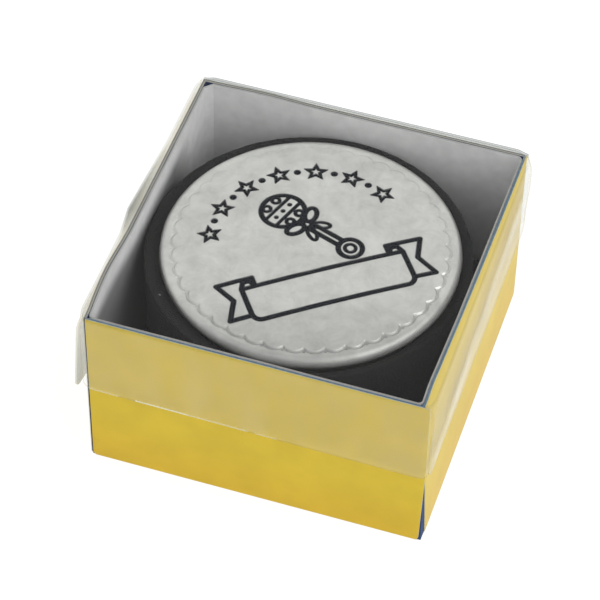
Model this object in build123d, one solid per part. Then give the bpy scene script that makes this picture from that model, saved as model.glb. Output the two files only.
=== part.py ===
from build123d import *
import os
from math import cos, radians, sin

# A round pewter keepsake box for a first baby tooth, standing in its square gift tray.
# The tray is folded from yellow card, lined with a collar of grey card and bedded with black foam.
# A folded cover of clear film slips over the tray from above.
# Millimetres. +Z is up and the front of the tray faces -Y.
# The origin is the middle of the tray's underside.

# Room for the keepsake's lid in the tray: beside it all round, and above it under the film.
lid_side_room = 2.2
lid_headroom = 1.6

# Card tray: one blank of yellow card whose four walls are glued at the corners.
card_thickness = 0.4
card_fold_radius = 0.3
# Each corner seam: one wall's cut end passes the next wall, and the seam opens towards the base.
seam_lap_depth = 0.2
seam_top_gap = 0.15
seam_foot_gap = 1.0
seam_end_setback = 0.4
seam_foot_radius = 0.9

# Collar of grey card that stands inside the walls.
liner_thickness = 0.4
liner_clearance = 0.05
liner_rim_drop = 0.05
liner_bend_radius = 0.5
liner_closing_chamfer = 0.9

# Black foam bed: a square pad, and on it a round collar that ends just under the lid's overhang.
foam_pad_thickness = 6.0
foam_pad_clearance = 0.15
foam_pad_corner_radius = 1.7
foam_collar_clearance = 0.45
foam_hole_clearance = 0.3
foam_hole_bevel = 1.0
foam_lid_gap = 0.15

# Cast pewter base of the keepsake box, and the felt disc in it.
base_height = 16.4
base_wall = 1.8
base_floor = 1.8
base_foot_radius = 1.2
base_inner_radius = 0.8
base_rim_chamfer = 0.2
lining_thickness = 0.9
lining_clearance = 0.1

# Cast pewter lid: a gently domed plate with a fully round edge and a locating ring below.
lid_diameter = 38.9
lid_overhang = 1.25
lid_edge_thickness = 2.0
lid_dome_rise = 0.6
lid_plate_thickness = 1.7
ring_depth = 2.2
ring_wall = 1.2
ring_clearance = 0.15

# Engraving on the lid. Its own up direction is turned from the tray's by design_turn degrees.
design_turn = 36.5
groove_depth = 0.3
bold_line = 0.55
fine_line = 0.35
border_depth = 0.15

# Scalloped line near the edge.
scallop_count = 42
scallop_inset = 2.05
scallop_swell = 0.6

# Arc of stars and dots over the middle.
star_count = 7
star_points = 5
star_arc_inset = 6.35
star_arc_spread = 128.0
star_radius = 1.6
star_waist_share = 0.46
star_hollow_share = 0.5
arc_dot_radius = 0.4

# Baby's rattle, drawn along its own axis from the head to the ring at the end of the handle.
rattle_head_x = -1.6
rattle_head_y = 6.6
rattle_lean = -55.5
rattle_length = 10.8
rattle_head_radius = 2.85
rattle_ring_radius = 1.55
rattle_ring_hole_radius = 0.7
rattle_band_half = 0.85
rattle_bead_radius = 0.5
rattle_bead_spacing = 1.9
rattle_handle_half = 0.5
bow_distance = 3.9
bow_knot_radius = 0.5
bow_loop_length = 2.5
bow_loop_width = 1.5
bow_tail_width = 1.0
bow_loop_angle = 68.0
bow_tail_angle = 32.0

# Blank ribbon banner under the rattle.
banner_length = 21.6
banner_width = 5.5
banner_drop = 7.4
banner_foot_radius = 1.2
tail_reach = 2.9
tail_width = 6.0
tail_lift = 1.5
tail_notch = 1.4
tail_tuck = 1.8
fold_lift = 1.0

# Clear film cover: a square top with four folded skirts.
film_thickness = 0.22
film_clearance = 0.25
film_fold_radius = 0.2
skirt_depth = 14.0
skirt_corner_radius = 1.4

# Run past a face so that a cut goes clean through it.
overrun = 1.0

# Levels and sizes worked out from the above.
foam_pad_top = card_thickness + foam_pad_thickness
lid_seat_level = foam_pad_top + base_height
lid_edge_top = lid_seat_level + lid_edge_thickness
lid_top_level = lid_edge_top + lid_dome_rise
lid_radius = lid_diameter / 2
base_radius = lid_radius - lid_overhang
base_bore_radius = base_radius - base_wall
liner_inside = lid_diameter + 2 * lid_side_room
liner_outside = liner_inside + 2 * liner_thickness
tray_inside = liner_outside + 2 * liner_clearance
tray_width = tray_inside + 2 * card_thickness
tray_height = lid_top_level + lid_headroom
foam_pad_width = liner_inside - 2 * foam_pad_clearance
foam_collar_radius = liner_inside / 2 - foam_collar_clearance
foam_collar_height = base_height - foam_lid_gap
film_inside = tray_width + 2 * film_clearance
film_outside = film_inside + 2 * film_thickness
skirt_foot_level = tray_height + film_thickness - skirt_depth


def block(width, height, level):
    """Square block of the given height, standing on a level."""
    return Pos(0, 0, level) * Box(width, width, height, align=(Align.CENTER, Align.CENTER, Align.MIN))


def upright(radius, height):
    """Cylinder that stands on the ground."""
    return Cylinder(radius, height, align=(Align.CENTER, Align.CENTER, Align.MIN))


def turned(profile):
    """Solid of revolution about Z of a face drawn in the XZ plane."""
    return revolve(Plane.XZ * profile, Axis.Z)


# Card tray


def relief(setback_top, setback_foot, lead):
    """Face cut from a wall's end: x runs in from the corner, y up from the base."""
    round_x = setback_foot + seam_foot_radius
    half_turn = radians(45)
    arc_middle = (
        round_x - seam_foot_radius * cos(half_turn),
        seam_foot_radius - seam_foot_radius * sin(half_turn),
    )
    side = Polyline(
        (setback_foot, seam_foot_radius),
        (setback_top, tray_height),
        (setback_top, tray_height + overrun),
        (-lead, tray_height + overrun),
        (-lead, -overrun),
        (round_x, -overrun),
        (round_x, 0),
    )
    foot = ThreePointArc((round_x, 0), arc_middle, (setback_foot, seam_foot_radius))
    return make_face(Curve() + [side, foot])


def corner_seam():
    """Cut for the front right corner, where the front wall's end laps over the right wall."""
    half = tray_width / 2
    end_plane = Plane(origin=(half, -half - overrun, 0), x_dir=(-1, 0, 0), z_dir=(0, 1, 0))
    end_face = relief(0, seam_end_setback, overrun)
    end_cut = extrude(end_plane * end_face, card_thickness + overrun)
    lap_origin = (half - seam_lap_depth, -half + card_thickness, 0)
    lap_plane = Plane(origin=lap_origin, x_dir=(0, 1, 0), z_dir=(1, 0, 0))
    lap_face = relief(seam_top_gap, seam_foot_gap, 0)
    lap_cut = extrude(lap_plane * lap_face, seam_lap_depth + overrun)
    return end_cut + lap_cut


def make_card_tray():
    outer = block(tray_width, tray_height, 0)
    outer = fillet(outer.edges().group_by(Axis.Z)[0], card_fold_radius)
    tray = outer - block(tray_inside, tray_height, card_thickness)
    for corner in range(4):
        tray -= Rot(0, 0, 90 * corner) * corner_seam()
    return tray


def collar_outline(width, bend_radius, closing):
    """Square with three bends and, at the back left, the slanted facet where the strip closes."""
    half = width / 2
    corners = [
        (-half + closing, half),
        (half, half),
        (half, -half),
        (-half, -half),
        (-half, half - closing),
    ]
    outline = make_face(Polyline(*corners, close=True))
    bends = [point for point in outline.vertices() if point.X > 0 or point.Y < 0]
    return fillet(bends, bend_radius)


def make_tray_liner():
    """Grey collar inside the walls, just short of the rim."""
    outer_closing = liner_closing_chamfer + liner_thickness * (2 - 2**0.5)
    outline = collar_outline(liner_outside, liner_bend_radius + liner_thickness, outer_closing)
    outline -= collar_outline(liner_inside, liner_bend_radius, liner_closing_chamfer)
    return extrude(Pos(0, 0, card_thickness) * outline, tray_height - card_thickness - liner_rim_drop)


# Foam bed


def make_foam_pad():
    """Square pad on the tray's floor."""
    pad = block(foam_pad_width, foam_pad_thickness, card_thickness)
    return fillet(pad.edges().filter_by(Axis.Z), foam_pad_corner_radius)


def make_foam_collar():
    """Round collar on the pad. It holds the keepsake up to its lid and leaves the tray's corners open.

    The hole's upper edge is bevelled under the lid's overhang, so that the keepsake finds its way in.
    """
    sleeve = upright(foam_collar_radius, foam_collar_height)
    hole = upright(base_radius + foam_hole_clearance, foam_collar_height + 2 * overrun)
    sleeve -= Pos(0, 0, -overrun) * hole
    hole_edge = sleeve.edges().group_by(Axis.Z)[-1].sort_by(SortBy.RADIUS)[0]
    return Pos(0, 0, foam_pad_top) * chamfer(hole_edge, foam_hole_bevel)


# Keepsake box


def make_keepsake_base():
    outer = upright(base_radius, base_height)
    outer = fillet(outer.edges().group_by(Axis.Z)[0], base_foot_radius)
    outer = chamfer(outer.edges().group_by(Axis.Z)[-1], base_rim_chamfer)
    bore = upright(base_bore_radius, base_height)
    bore = fillet(bore.edges().group_by(Axis.Z)[0], base_inner_radius)
    return Pos(0, 0, foam_pad_top) * (outer - Pos(0, 0, base_floor) * bore)


def make_base_lining():
    radius = base_bore_radius - base_inner_radius - lining_clearance
    return Pos(0, 0, foam_pad_top + base_floor) * upright(radius, lining_thickness)


def lid_blank(lowered):
    """Domed plate with a round edge. Lowered, its dome drops by that depth and its edge is plain."""
    edge_radius = lid_edge_thickness / 2
    shoulder = lid_radius - edge_radius
    dome_radius = (shoulder**2 + lid_dome_rise**2) / (2 * lid_dome_rise)
    half_way = shoulder / 2
    half_drop = dome_radius - (dome_radius**2 - half_way**2) ** 0.5
    top = lid_top_level - lowered
    rim_top = lid_edge_top - lowered
    foot = (shoulder, lid_seat_level)
    dome = ThreePointArc((shoulder, rim_top), (half_way, top - half_drop), (0, top))
    edge = ThreePointArc(foot, (lid_radius, lid_seat_level + edge_radius), (shoulder, rim_top))
    if lowered:
        edge = Line(foot, (shoulder, rim_top))
    plate = Polyline((0, top), (0, lid_seat_level), foot)
    return turned(make_face(Curve() + [plate, edge, dome]))


# Engraving, drawn flat in its own frame


def line_stroke(start, end, width):
    """Straight line of the given width with round ends."""
    start, end = Vector(*start), Vector(*end)
    run = end - start
    slant = Vector(1, 0, 0).get_signed_angle(run)
    middle = start + run * 0.5
    return Location((middle.X, middle.Y, 0), (0, 0, slant)) * SlotCenterToCenter(run.length, width)


def ring_stroke(radius, width):
    return Circle(radius + width / 2) - Circle(radius - width / 2)


def loop_stroke(length, width, line):
    """Oval loop that starts at the origin and runs along X."""
    outer = Ellipse((length + line) / 2, (width + line) / 2)
    inner = Ellipse((length - line) / 2, (width - line) / 2)
    return Pos(length / 2, 0) * (outer - inner)


def star_face(radius):
    points = []
    for step in range(2 * star_points):
        reach = radius if step % 2 == 0 else radius * star_waist_share
        angle = radians(90 + 180 / star_points * step)
        points.append((reach * cos(angle), reach * sin(angle)))
    return make_face(Polyline(*points, close=True))


def star_arc():
    """Outlined stars with a dot between neighbours, along an arc over the middle."""
    marks = []
    arc_radius = lid_radius - star_arc_inset
    step = star_arc_spread / (2 * star_count - 2)
    for place in range(2 * star_count - 1):
        turn = Rot(0, 0, star_arc_spread / 2 - step * place)
        mark = Circle(arc_dot_radius)
        if place % 2 == 0:
            mark = star_face(star_radius) - star_face(star_radius * star_hollow_share)
        marks.append(turn * Pos(0, arc_radius) * mark)
    return marks


def rattle_marks():
    """Rattle along +X: banded head at the origin, bow, handle and end ring."""
    marks = [ring_stroke(rattle_head_radius, bold_line)]
    chord = (rattle_head_radius**2 - rattle_band_half**2) ** 0.5
    for side in (-1, 1):
        strap = side * rattle_band_half
        marks.append(line_stroke((strap, -chord), (strap, chord), fine_line))
        for across in (-1, 1):
            bead_place = Pos(side * rattle_bead_spacing, across * rattle_bead_spacing / 2)
            marks.append(bead_place * ring_stroke(rattle_bead_radius, fine_line))
    for across in (-1, 0, 1):
        marks.append(Pos(0, across * rattle_bead_spacing * 3 / 4) * Circle(rattle_bead_radius / 2))
    knot = Pos(bow_distance, 0)
    marks.append(knot * ring_stroke(bow_knot_radius, fine_line))
    for side in (-1, 1):
        loop = loop_stroke(bow_loop_length, bow_loop_width, bold_line)
        tail = loop_stroke(bow_loop_length, bow_tail_width, fine_line)
        marks.append(knot * Rot(0, 0, side * (180 - bow_loop_angle)) * Pos(bow_knot_radius, 0) * loop)
        marks.append(knot * Rot(0, 0, side * bow_tail_angle) * Pos(bow_knot_radius, 0) * tail)
    handle_start = bow_distance + bow_knot_radius
    handle_end = rattle_length - (rattle_ring_radius**2 - rattle_handle_half**2) ** 0.5
    for side in (-1, 1):
        half = side * rattle_handle_half
        marks.append(line_stroke((handle_start, half), (handle_end, half), bold_line))
    marks.append(Pos(rattle_length, 0) * ring_stroke(rattle_ring_radius, bold_line))
    marks.append(Pos(rattle_length, 0) * ring_stroke(rattle_ring_hole_radius, fine_line))
    place = Pos(rattle_head_x, rattle_head_y) * Rot(0, 0, rattle_lean)
    return [place * mark for mark in marks]


def banner_half():
    """Strokes of the banner's right half, as lists of points, about its own middle."""
    end = banner_length / 2
    top = banner_width / 2
    tail_top = tail_width / 2 + tail_lift - (tail_width - banner_width) / 2
    tail_foot = tail_top - tail_width
    tail_mid = (tail_top + tail_foot) / 2
    tip = end + tail_reach
    fold_x = end - tail_tuck
    fold_top = top + fold_lift
    fold_lean = tail_tuck / 4
    return [
        [(0, top), (end, top), (end, banner_foot_radius - top)],
        [(end - banner_foot_radius, -top), (0, -top)],
        [(end, tail_foot), (tip, tail_foot), (tip - tail_notch, tail_mid)],
        [(tip - tail_notch, tail_mid), (tip, tail_top), (fold_x, tail_top), (fold_x, top)],
        [(end, top), (end - fold_lean, fold_top), (fold_x + fold_lean, fold_top), (fold_x, top)],
    ]


def banner_marks():
    marks = []
    end = banner_length / 2
    foot = -banner_width / 2
    turn_x = end - banner_foot_radius
    turn_y = foot + banner_foot_radius
    reach = banner_foot_radius * sin(radians(45))
    for side in (-1, 1):
        for points in banner_half():
            flipped = [(side * x, y) for x, y in points]
            for start, stop in zip(flipped, flipped[1:]):
                marks.append(line_stroke(start, stop, bold_line))
        corner = ThreePointArc(
            (side * turn_x, foot),
            (side * (turn_x + reach), turn_y - reach),
            (side * end, turn_y),
        )
        marks.append(SlotArc(corner, bold_line))
    return [Pos(0, -banner_drop) * mark for mark in marks]


def scallop_marks():
    """Chain of arcs that swell outwards between cusps."""
    marks = []
    cusp_radius = lid_radius - scallop_inset
    swell_radius = cusp_radius + scallop_swell
    step = radians(360 / scallop_count)
    for place in range(scallop_count):
        start = step * place
        middle = start + step / 2
        stop = start + step
        arc = ThreePointArc(
            (cusp_radius * cos(start), cusp_radius * sin(start)),
            (swell_radius * cos(middle), swell_radius * sin(middle)),
            (cusp_radius * cos(stop), cusp_radius * sin(stop)),
        )
        marks.append(SlotArc(arc, fine_line))
    return marks


def groove(marks, depth):
    """Solid of the metal that a set of marks takes away, of even depth under the dome."""
    drawing = Sketch() + marks
    tall = extrude(Pos(0, 0, lid_seat_level) * drawing, lid_top_level - lid_seat_level + overrun)
    return tall - lid_blank(depth)


def make_keepsake_lid():
    """Engraved lid. Each group of marks is cut on its own."""
    ring_radius = base_bore_radius - ring_clearance
    hollow_top = lid_top_level - lid_plate_thickness
    hollow_height = hollow_top - lid_seat_level + ring_depth
    hanging = (Align.CENTER, Align.CENTER, Align.MAX)
    lid = lid_blank(0) + Pos(0, 0, lid_seat_level) * Cylinder(ring_radius, ring_depth, align=hanging)
    lid -= Pos(0, 0, hollow_top) * Cylinder(ring_radius - ring_wall, hollow_height, align=hanging)
    design = Rot(0, 0, design_turn)
    for marks in (star_arc(), rattle_marks(), banner_marks()):
        lid -= design * groove(marks, groove_depth)
    return lid - design * groove(scallop_marks(), border_depth)


# Clear cover


def skirt_rounding():
    """Cut that rounds the two lower corners of the front skirt."""
    standing = (Align.CENTER, Align.MIN)
    band = Rectangle(film_outside, skirt_corner_radius, align=standing)
    skirt = RectangleRounded(film_outside, skirt_depth, skirt_corner_radius, align=standing)
    start = Plane.XZ.offset(film_inside / 2)
    return extrude(start * Pos(0, skirt_foot_level) * (band - skirt), film_thickness + overrun)


def make_clear_lid():
    """Square film top with four skirts, each with rounded lower corners."""
    cover = block(film_outside, skirt_depth, skirt_foot_level)
    cover = fillet(cover.edges().group_by(Axis.Z)[-1], film_fold_radius)
    cover -= block(film_inside, tray_height, 0)
    for side in range(4):
        cover -= Rot(0, 0, 90 * side) * skirt_rounding()
    return cover


pieces = {
    "card_tray": make_card_tray,
    "tray_liner": make_tray_liner,
    "foam_pad": make_foam_pad,
    "foam_collar": make_foam_collar,
    "keepsake_base": make_keepsake_base,
    "base_lining": make_base_lining,
    "keepsake_lid": make_keepsake_lid,
    "clear_lid": make_clear_lid,
}

os.makedirs("parts", exist_ok=True)
for name, make in pieces.items():
    export_step(make(), f"parts/{name}.step")
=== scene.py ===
"""Baby tooth keepsake box in its square gift tray: the looks of every piece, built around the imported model.

The tray is folded yellow card with a grey card collar and a black foam bed. A round pewter box with an
engraved lid stands in it, with a felt disc inside, and a folded cover of clear film goes over everything.
Metres, +Z up, the front of the tray faces -Y, and the origin is the middle of the tray's underside.
"""

from math import asin, cos, hypot, pi, radians, sin, sqrt

import bpy
import numpy as np
from bpy.props import FloatProperty, FloatVectorProperty, IntProperty, PointerProperty
from mathutils import Matrix, Vector, noise
from mathutils.geometry import delaunay_2d_cdt


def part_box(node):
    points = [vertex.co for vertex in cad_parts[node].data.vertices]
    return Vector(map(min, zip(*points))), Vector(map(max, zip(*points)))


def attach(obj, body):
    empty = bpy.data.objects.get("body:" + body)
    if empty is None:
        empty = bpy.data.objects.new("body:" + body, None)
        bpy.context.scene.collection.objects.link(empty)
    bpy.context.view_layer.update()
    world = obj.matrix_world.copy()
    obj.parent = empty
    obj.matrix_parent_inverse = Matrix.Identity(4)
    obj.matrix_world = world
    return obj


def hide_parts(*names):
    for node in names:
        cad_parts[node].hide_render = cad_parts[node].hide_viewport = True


bl_info = {
    "name": "Tooth keepsake box",
    "version": (1, 0, 0),
    "blender": (4, 5, 0),
    "location": "3D view > Sidebar > Tooth box",
    "description": "Builds a pewter tooth box in its card gift tray with a clear film cover",
    "category": "Add Mesh",
}

MM = 0.001

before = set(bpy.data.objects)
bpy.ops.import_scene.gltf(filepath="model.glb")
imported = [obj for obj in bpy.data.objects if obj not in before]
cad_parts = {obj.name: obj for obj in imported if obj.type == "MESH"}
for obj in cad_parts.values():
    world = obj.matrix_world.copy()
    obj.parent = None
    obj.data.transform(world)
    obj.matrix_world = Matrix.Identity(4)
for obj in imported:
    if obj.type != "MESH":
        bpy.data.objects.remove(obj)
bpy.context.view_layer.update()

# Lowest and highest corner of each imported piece.
tray_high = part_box("card_tray")[1]
liner_low, liner_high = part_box("tray_liner")
pad_low, pad_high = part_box("foam_pad")
collar_low, collar_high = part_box("foam_collar")
base_low, base_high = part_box("keepsake_base")
lining_low, lining_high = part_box("base_lining")
lid_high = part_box("keepsake_lid")[1]
film_low, film_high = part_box("clear_lid")


def linear(hex_colour):
    """Linear RGBA of an sRGB hex colour."""
    channels = [int(hex_colour[place : place + 2], 16) / 255 for place in (1, 3, 5)]
    return [*(c / 12.92 if c <= 0.04045 else ((c + 0.055) / 1.055) ** 2.4 for c in channels), 1.0]


def size(name, description, millimetres):
    """A length that a user may change. Its default is given in millimetres."""
    return FloatProperty(
        name=name, description=description, default=millimetres * MM, unit="LENGTH", precision=5
    )


def turn(name, description, degrees):
    """An angle that a user may change. Its default is given in degrees."""
    return FloatProperty(
        name=name, description=description, default=radians(degrees), subtype="ANGLE"
    )


def tint(name, description, hex_colour):
    """A colour that a user may change."""
    return FloatVectorProperty(
        name=name,
        description=description,
        default=linear(hex_colour),
        subtype="COLOR",
        size=4,
        min=0.0,
        max=1.0,
    )


def amount(name, description, default):
    """A plain number that a user may change."""
    return FloatProperty(name=name, description=description, default=default, min=0.0)


class CardSettings(bpy.types.PropertyGroup):
    """Sizes and colours of the card tray and its collar."""

    yellow: tint("Yellow", "Printed face of the tray's board", "#CDB236")
    # Deeper yellow that the printed face takes towards its foot.
    rubbed: tint("Rubbed yellow", "Printed face near the foot, where handling has deepened it", "#CCAA30")
    navy: tint("Navy", "Core of the tray's board where a seam opens", "#17396E")
    cut_edge: tint("Cut edge", "Cut edge of the tray's board", "#5F7A90")
    # Pale cut edge of the printed paper, lightened further by a painted highlight.
    pale_edge_and_highlight: tint("Worn edge", "Edge of the printed paper, worn pale", "#C9C7AE")
    # Colour that the paper's and the core's cut edges take on the left and back walls.
    far_rim_edge: tint("Dusty edge", "The same edges on the far walls, worn brown and grey", "#98958B")
    grey: tint("Grey", "Face of the collar's board", "#E3E2E3")
    # Painted shade on the lower part of the collar's left wall, beside the foam.
    left_wall_shade: tint("Scuff", "Black that the foam has rubbed off on the collar's left side", "#2A2A2B")
    grey_edge: tint("Grey edge", "Cut edge of the collar's board", "#A3A09C")
    face_paper: size("Face paper", "Thickness of the printed paper on the board", 0.13)
    liner_thickness: size("Collar thickness", "Thickness of the grey collar's board", 0.26)
    fold_radius: size("Fold radius", "Outer radius of the folds at the foot", 0.3)
    edge_round: size("Edge rounding", "Rounding of a cut edge", 0.04)
    lean_front: size("Right wall lean, front", "How far the right wall's rim leans in at the front", 0.72)
    lean_back: size("Right wall lean, back", "How far the right wall's rim leans in at the back", 0.1)
    back_lean: size("Back wall lean", "How far the back wall's rim leans out", 0.2)
    dip_left: size("Front dip, left", "How far the front wall's rim has sunk at its left end", 0.3)
    dip_right: size("Front dip, right", "How far the front wall's rim has sunk at its right end", 0.65)
    left_bow: size("Left wall bow", "How far the left wall's rim bows out", 0.35)
    back_bow: size("Back wall bow", "How far the back wall's rim bows out", 0.2)
    bow_place: size("Bow place", "Distance of the two bows from the middle of their walls", 14.0)
    bow_spread: size("Bow spread", "Half length of each bow along its wall", 8.0)
    lap_gap: size("Lap gap", "Gap where a wall's end butts against the next wall", 0.25)
    seam_foot_gap: size("Seam foot gap", "How far the right wall's end stands back at the foot", 1.3)
    seam_open_height: size("Seam open height", "Height below which the front seam opens", 16.0)
    seam_setback: size("Seam setback", "How far the front wall's end stands back at the foot", 0.45)
    foot_radius: size("Foot radius", "Rounding of the lower corners of the walls", 0.9)
    facet: size("Facet", "Slanted facet where the collar closes at the back left", 0.9)
    bend_radius: size("Bend radius", "Inner radius of the collar's bends", 0.5)


class FilmSettings(bpy.types.PropertyGroup):
    """Sizes and looks of the clear film cover."""

    thickness: size("Thickness", "Thickness of the film", 0.22)
    fold_radius: size("Fold radius", "Outer radius of the film's folds", 0.25)
    corner_radius: size("Corner radius", "Rounding of the flaps' lower corners", 1.4)
    corner_gap: size("Corner gap", "Gap between neighbouring flaps", 0.12)
    short_side: size("Short side", "How much shorter the front flap is at its left end", 0.7)
    bulge: size("Fold bulge", "How far the left fold has been knocked out", 0.8)
    flare: size("Flare", "How far the left flap's front end stands off", 0.85)
    right_bow: size("Right bow", "How far the right flap bows out", 0.3)
    pinch: size("Pinch", "How far the fold is pinched in at a corner", 0.35)
    gloss: amount("Gloss", "Share of light that the film mirrors straight on", 0.012)
    sheen: amount("Sheen", "Share of light that the film mirrors when seen edge on", 0.3)
    haze_top: amount("Haze, top", "Share of light that dust on the top scatters", 0.002)
    haze_front: amount("Haze, front", "Share of light that the rubbed front flap scatters", 0.05)
    haze_right: amount("Haze, right", "Share of light that the rubbed right flap scatters", 0.22)
    haze_left: amount("Haze, left", "Share of light that the rubbed left flap scatters", 0.15)
    haze_back: amount("Haze, back", "Share of light that the rubbed back flap scatters", 0.05)
    haze_tint: tint("Haze tint", "Colour of the rubbed film", "#EEEEEC")
    # Painted shade: grey that the film's see-through colour takes in its folds and where it stands off.
    fold_shade_tint: tint("Bend tint", "Colour that the film takes where it is folded", "#C2C5C5")
    clear_back: size("Clear band, back", "Depth of the clear band by the right fold, at its back", 2.8)
    clear_front: size("Clear band, front", "Depth of that band at its front", 13.0)
    loose_left: size("Loose left", "How far the left flap stands off its wall", 0.2)
    loose_back: size("Loose back", "How far the back flap stands off its wall", 0.28)
    edge_tint: tint("Edge", "Cut edge of the film", "#F2F4E2")


class FoamSettings(bpy.types.PropertyGroup):
    """Sizes and colours of the foam bed, and the felt's colour."""

    black: tint("Black", "Closed cell foam", "#191919")
    cell: size("Cell", "Size of the foam's cells", 0.45)
    dust: tint("Dust", "Specks of dust on the foam", "#6E6E6E")
    corner_radius: size("Corner radius", "Rounding of the pad's corners", 1.7)
    hole_radius: size("Hole radius", "Radius of the collar's hole", 18.5)
    hole_bevel: size("Hole bevel", "Bevel at the hole's upper edge, under the lid", 1.0)
    collar_edge: size("Collar edge", "Rounding of the collar's outer edges", 0.4)
    swell: size("Swell", "How far the collar's top swells up beside the lid", 0.45)
    collar_shift: size("Collar shift", "How far the collar's rim sits to the left and to the back", 0.43)
    felt: tint("Felt", "Felt disc in the box", "#1C2E5A")


class PewterSettings(bpy.types.PropertyGroup):
    """Sizes and finish of the two pewter castings."""

    silver: tint("Pewter", "Satin hand finished pewter", "#E2E1DE")
    blackening: tint("Blackening", "Oxidised fill of the engraving", "#14171F")
    roughness: amount("Roughness", "Roughness of the satin finish", 0.37)
    wall: size("Wall", "Wall of the base", 1.8)
    floor: size("Floor", "Floor of the base", 1.8)
    foot_radius: size("Foot radius", "Outer rounding of the base's foot", 1.2)
    inner_radius: size("Inner radius", "Rounding between floor and wall", 0.8)
    rim_chamfer: size("Rim chamfer", "Softened edge of the base's rim", 0.2)
    edge: size("Lid edge", "Thickness of the lid's round edge", 2.0)
    dome_rise: size("Dome rise", "Rise of the lid over its edge", 0.6)
    plate: size("Plate", "Thickness of the lid in the middle", 1.7)
    ring_radius: size("Ring radius", "Outer radius of the locating ring", 16.25)
    ring_wall: size("Ring wall", "Wall of the locating ring", 1.2)
    ring_depth: size("Ring depth", "Depth of the locating ring", 2.2)
    unevenness: size("Unevenness", "Depth of the soft hollows left by hand finishing", 0.03)


class EngravingSettings(bpy.types.PropertyGroup):
    """Sizes of the marks on the lid."""

    lean: turn("Lean", "Turn of the whole design against the tray", 36.5)
    groove_depth: size("Groove depth", "Depth of the engraved lines", 0.3)
    border_depth: size("Border depth", "Depth of the scalloped line where it is clearest", 0.3)
    border_faint: amount("Border faint", "Share of that depth where the line is faintest", 0.1)
    border_clear: turn("Border clear", "Direction in which the line is clearest", -70)
    tooth: size("Tooth", "Length of the short cut that runs outwards from each cusp", 0.45)
    # Painted shade over the front of the lid and its edge, through the blackening share.
    front_shade: amount("Patina", "Share of blackening left on the front of the lid", 0.26)
    bold: size("Bold line", "Width of the main lines", 0.55)
    fine: size("Fine line", "Width of the fine lines", 0.35)
    scallop_count: IntProperty(name="Scallops", description="Arcs in the border", default=42, min=3)
    scallop_inset: size("Scallop inset", "Distance of the border's cusps from the lid's edge", 2.05)
    scallop_swell: size("Scallop swell", "How far each arc swells outwards", 0.6)
    star_count: IntProperty(name="Stars", description="Stars in the arc", default=7, min=2)
    star_points: IntProperty(name="Star points", description="Points of a star", default=5, min=3)
    star_inset: size("Star inset", "Distance of the stars from the lid's edge", 6.35)
    star_spread: turn("Star spread", "Angle from the first star to the last", 128)
    star_radius: size("Star radius", "Reach of a star's points", 1.6)
    star_waist: amount("Star waist", "Share of the reach at a star's waist", 0.46)
    star_hollow: amount("Star hollow", "Share of the star that stays uncut in its middle", 0.5)
    dot_radius: size("Dot radius", "Radius of the dots between stars", 0.4)
    rattle_x: size("Rattle X", "Place of the rattle's head", -1.6)
    rattle_y: size("Rattle Y", "Place of the rattle's head", 6.6)
    rattle_lean: turn("Rattle lean", "Direction of the rattle's handle", -55.5)
    rattle_length: size("Rattle length", "From the head's middle to the end ring's", 10.8)
    head_radius: size("Head radius", "Radius of the rattle's head", 2.85)
    ring_radius: size("End ring", "Radius of the ring at the handle's end", 1.55)
    ring_hole: size("End ring hole", "Radius of that ring's hole", 0.7)
    band_half: size("Band", "Half width of the band over the head", 0.85)
    bead_radius: size("Bead", "Radius of the small rings on the head", 0.5)
    bead_spacing: size("Bead spacing", "Distance of the small rings from the middle", 1.9)
    handle_half: size("Handle", "Half width of the handle", 0.5)
    bow_distance: size("Bow distance", "From the head's middle to the bow's knot", 3.9)
    knot_radius: size("Knot", "Radius of the bow's knot", 0.5)
    loop_length: size("Loop length", "Length of the bow's loops", 2.5)
    loop_width: size("Loop width", "Width of the bow's loops", 1.5)
    tail_width: size("Tail width", "Width of the bow's tails", 1.0)
    loop_turn: turn("Loop turn", "Direction of the bow's loops", 68)
    tail_turn: turn("Tail turn", "Direction of the bow's tails", 32)
    banner_length: size("Banner length", "Length of the ribbon banner", 21.6)
    banner_width: size("Banner width", "Width of the ribbon banner", 5.5)
    banner_drop: size("Banner drop", "Distance of the banner below the lid's middle", 7.4)
    banner_foot: size("Banner foot", "Rounding of the banner's lower corners", 1.2)
    ribbon_reach: size("Ribbon reach", "How far the ribbon's tails reach out", 2.9)
    ribbon_width: size("Ribbon width", "Width of the ribbon's tails", 6.0)
    ribbon_lift: size("Ribbon lift", "How far the tails sit above the banner", 1.5)
    ribbon_notch: size("Ribbon notch", "Depth of the notch in each tail", 1.4)
    ribbon_tuck: size("Ribbon tuck", "How far each tail tucks behind the banner", 1.8)
    fold_lift: size("Fold lift", "Height of the ribbon's fold over the banner", 1.0)


class StudioSettings(bpy.types.PropertyGroup):
    """Camera, light, room and floor."""

    azimuth: turn("Azimuth", "Direction that the camera looks from", 17.3648)
    elevation: turn("Elevation", "Height of the camera over the horizon", 48.0767)
    roll: turn("Roll", "Tilt of the camera", 1.0225)
    distance: size("Distance", "From the tray's foot to the camera", 383.49)
    aim_right: size("Aim right", "Sideways offset of the camera", -1.107)
    aim_up: size("Aim up", "Upward offset of the camera", 9.702)
    focal_pixels: amount("Focal length", "Focal length in pixels of the image's width", 2852.4)
    image_pixels: amount("Image width", "Width of the image in pixels", 600.0)
    floor: tint("Floor", "Opal acrylic of the light table", "#6C6C6C")
    glow: amount("Glow", "Brightness of the light table", 0.9)
    world: amount("World", "Brightness of the room", 0.84)
    key: amount("Key light", "Power of the key light in watts", 1.4)


# Shapes


def smooth(value):
    """Goes gently from 0 to 1 as value does."""
    held = np.clip(value, 0.0, 1.0)
    return held * held * (3.0 - 2.0 * held)


def bump(value):
    """A smooth hill of height 1 about 0 that ends at -1 and 1."""
    return smooth(1.0 - np.abs(value))


def soft_noise(points, feature, seed):
    """Smooth noise from about -1 to 1 at points, with hills of the given size."""
    shift = Vector((17.0 * seed, 5.0 * seed, -11.0 * seed))
    return np.array([noise.noise(Vector(point) / feature + shift) for point in points])


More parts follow.
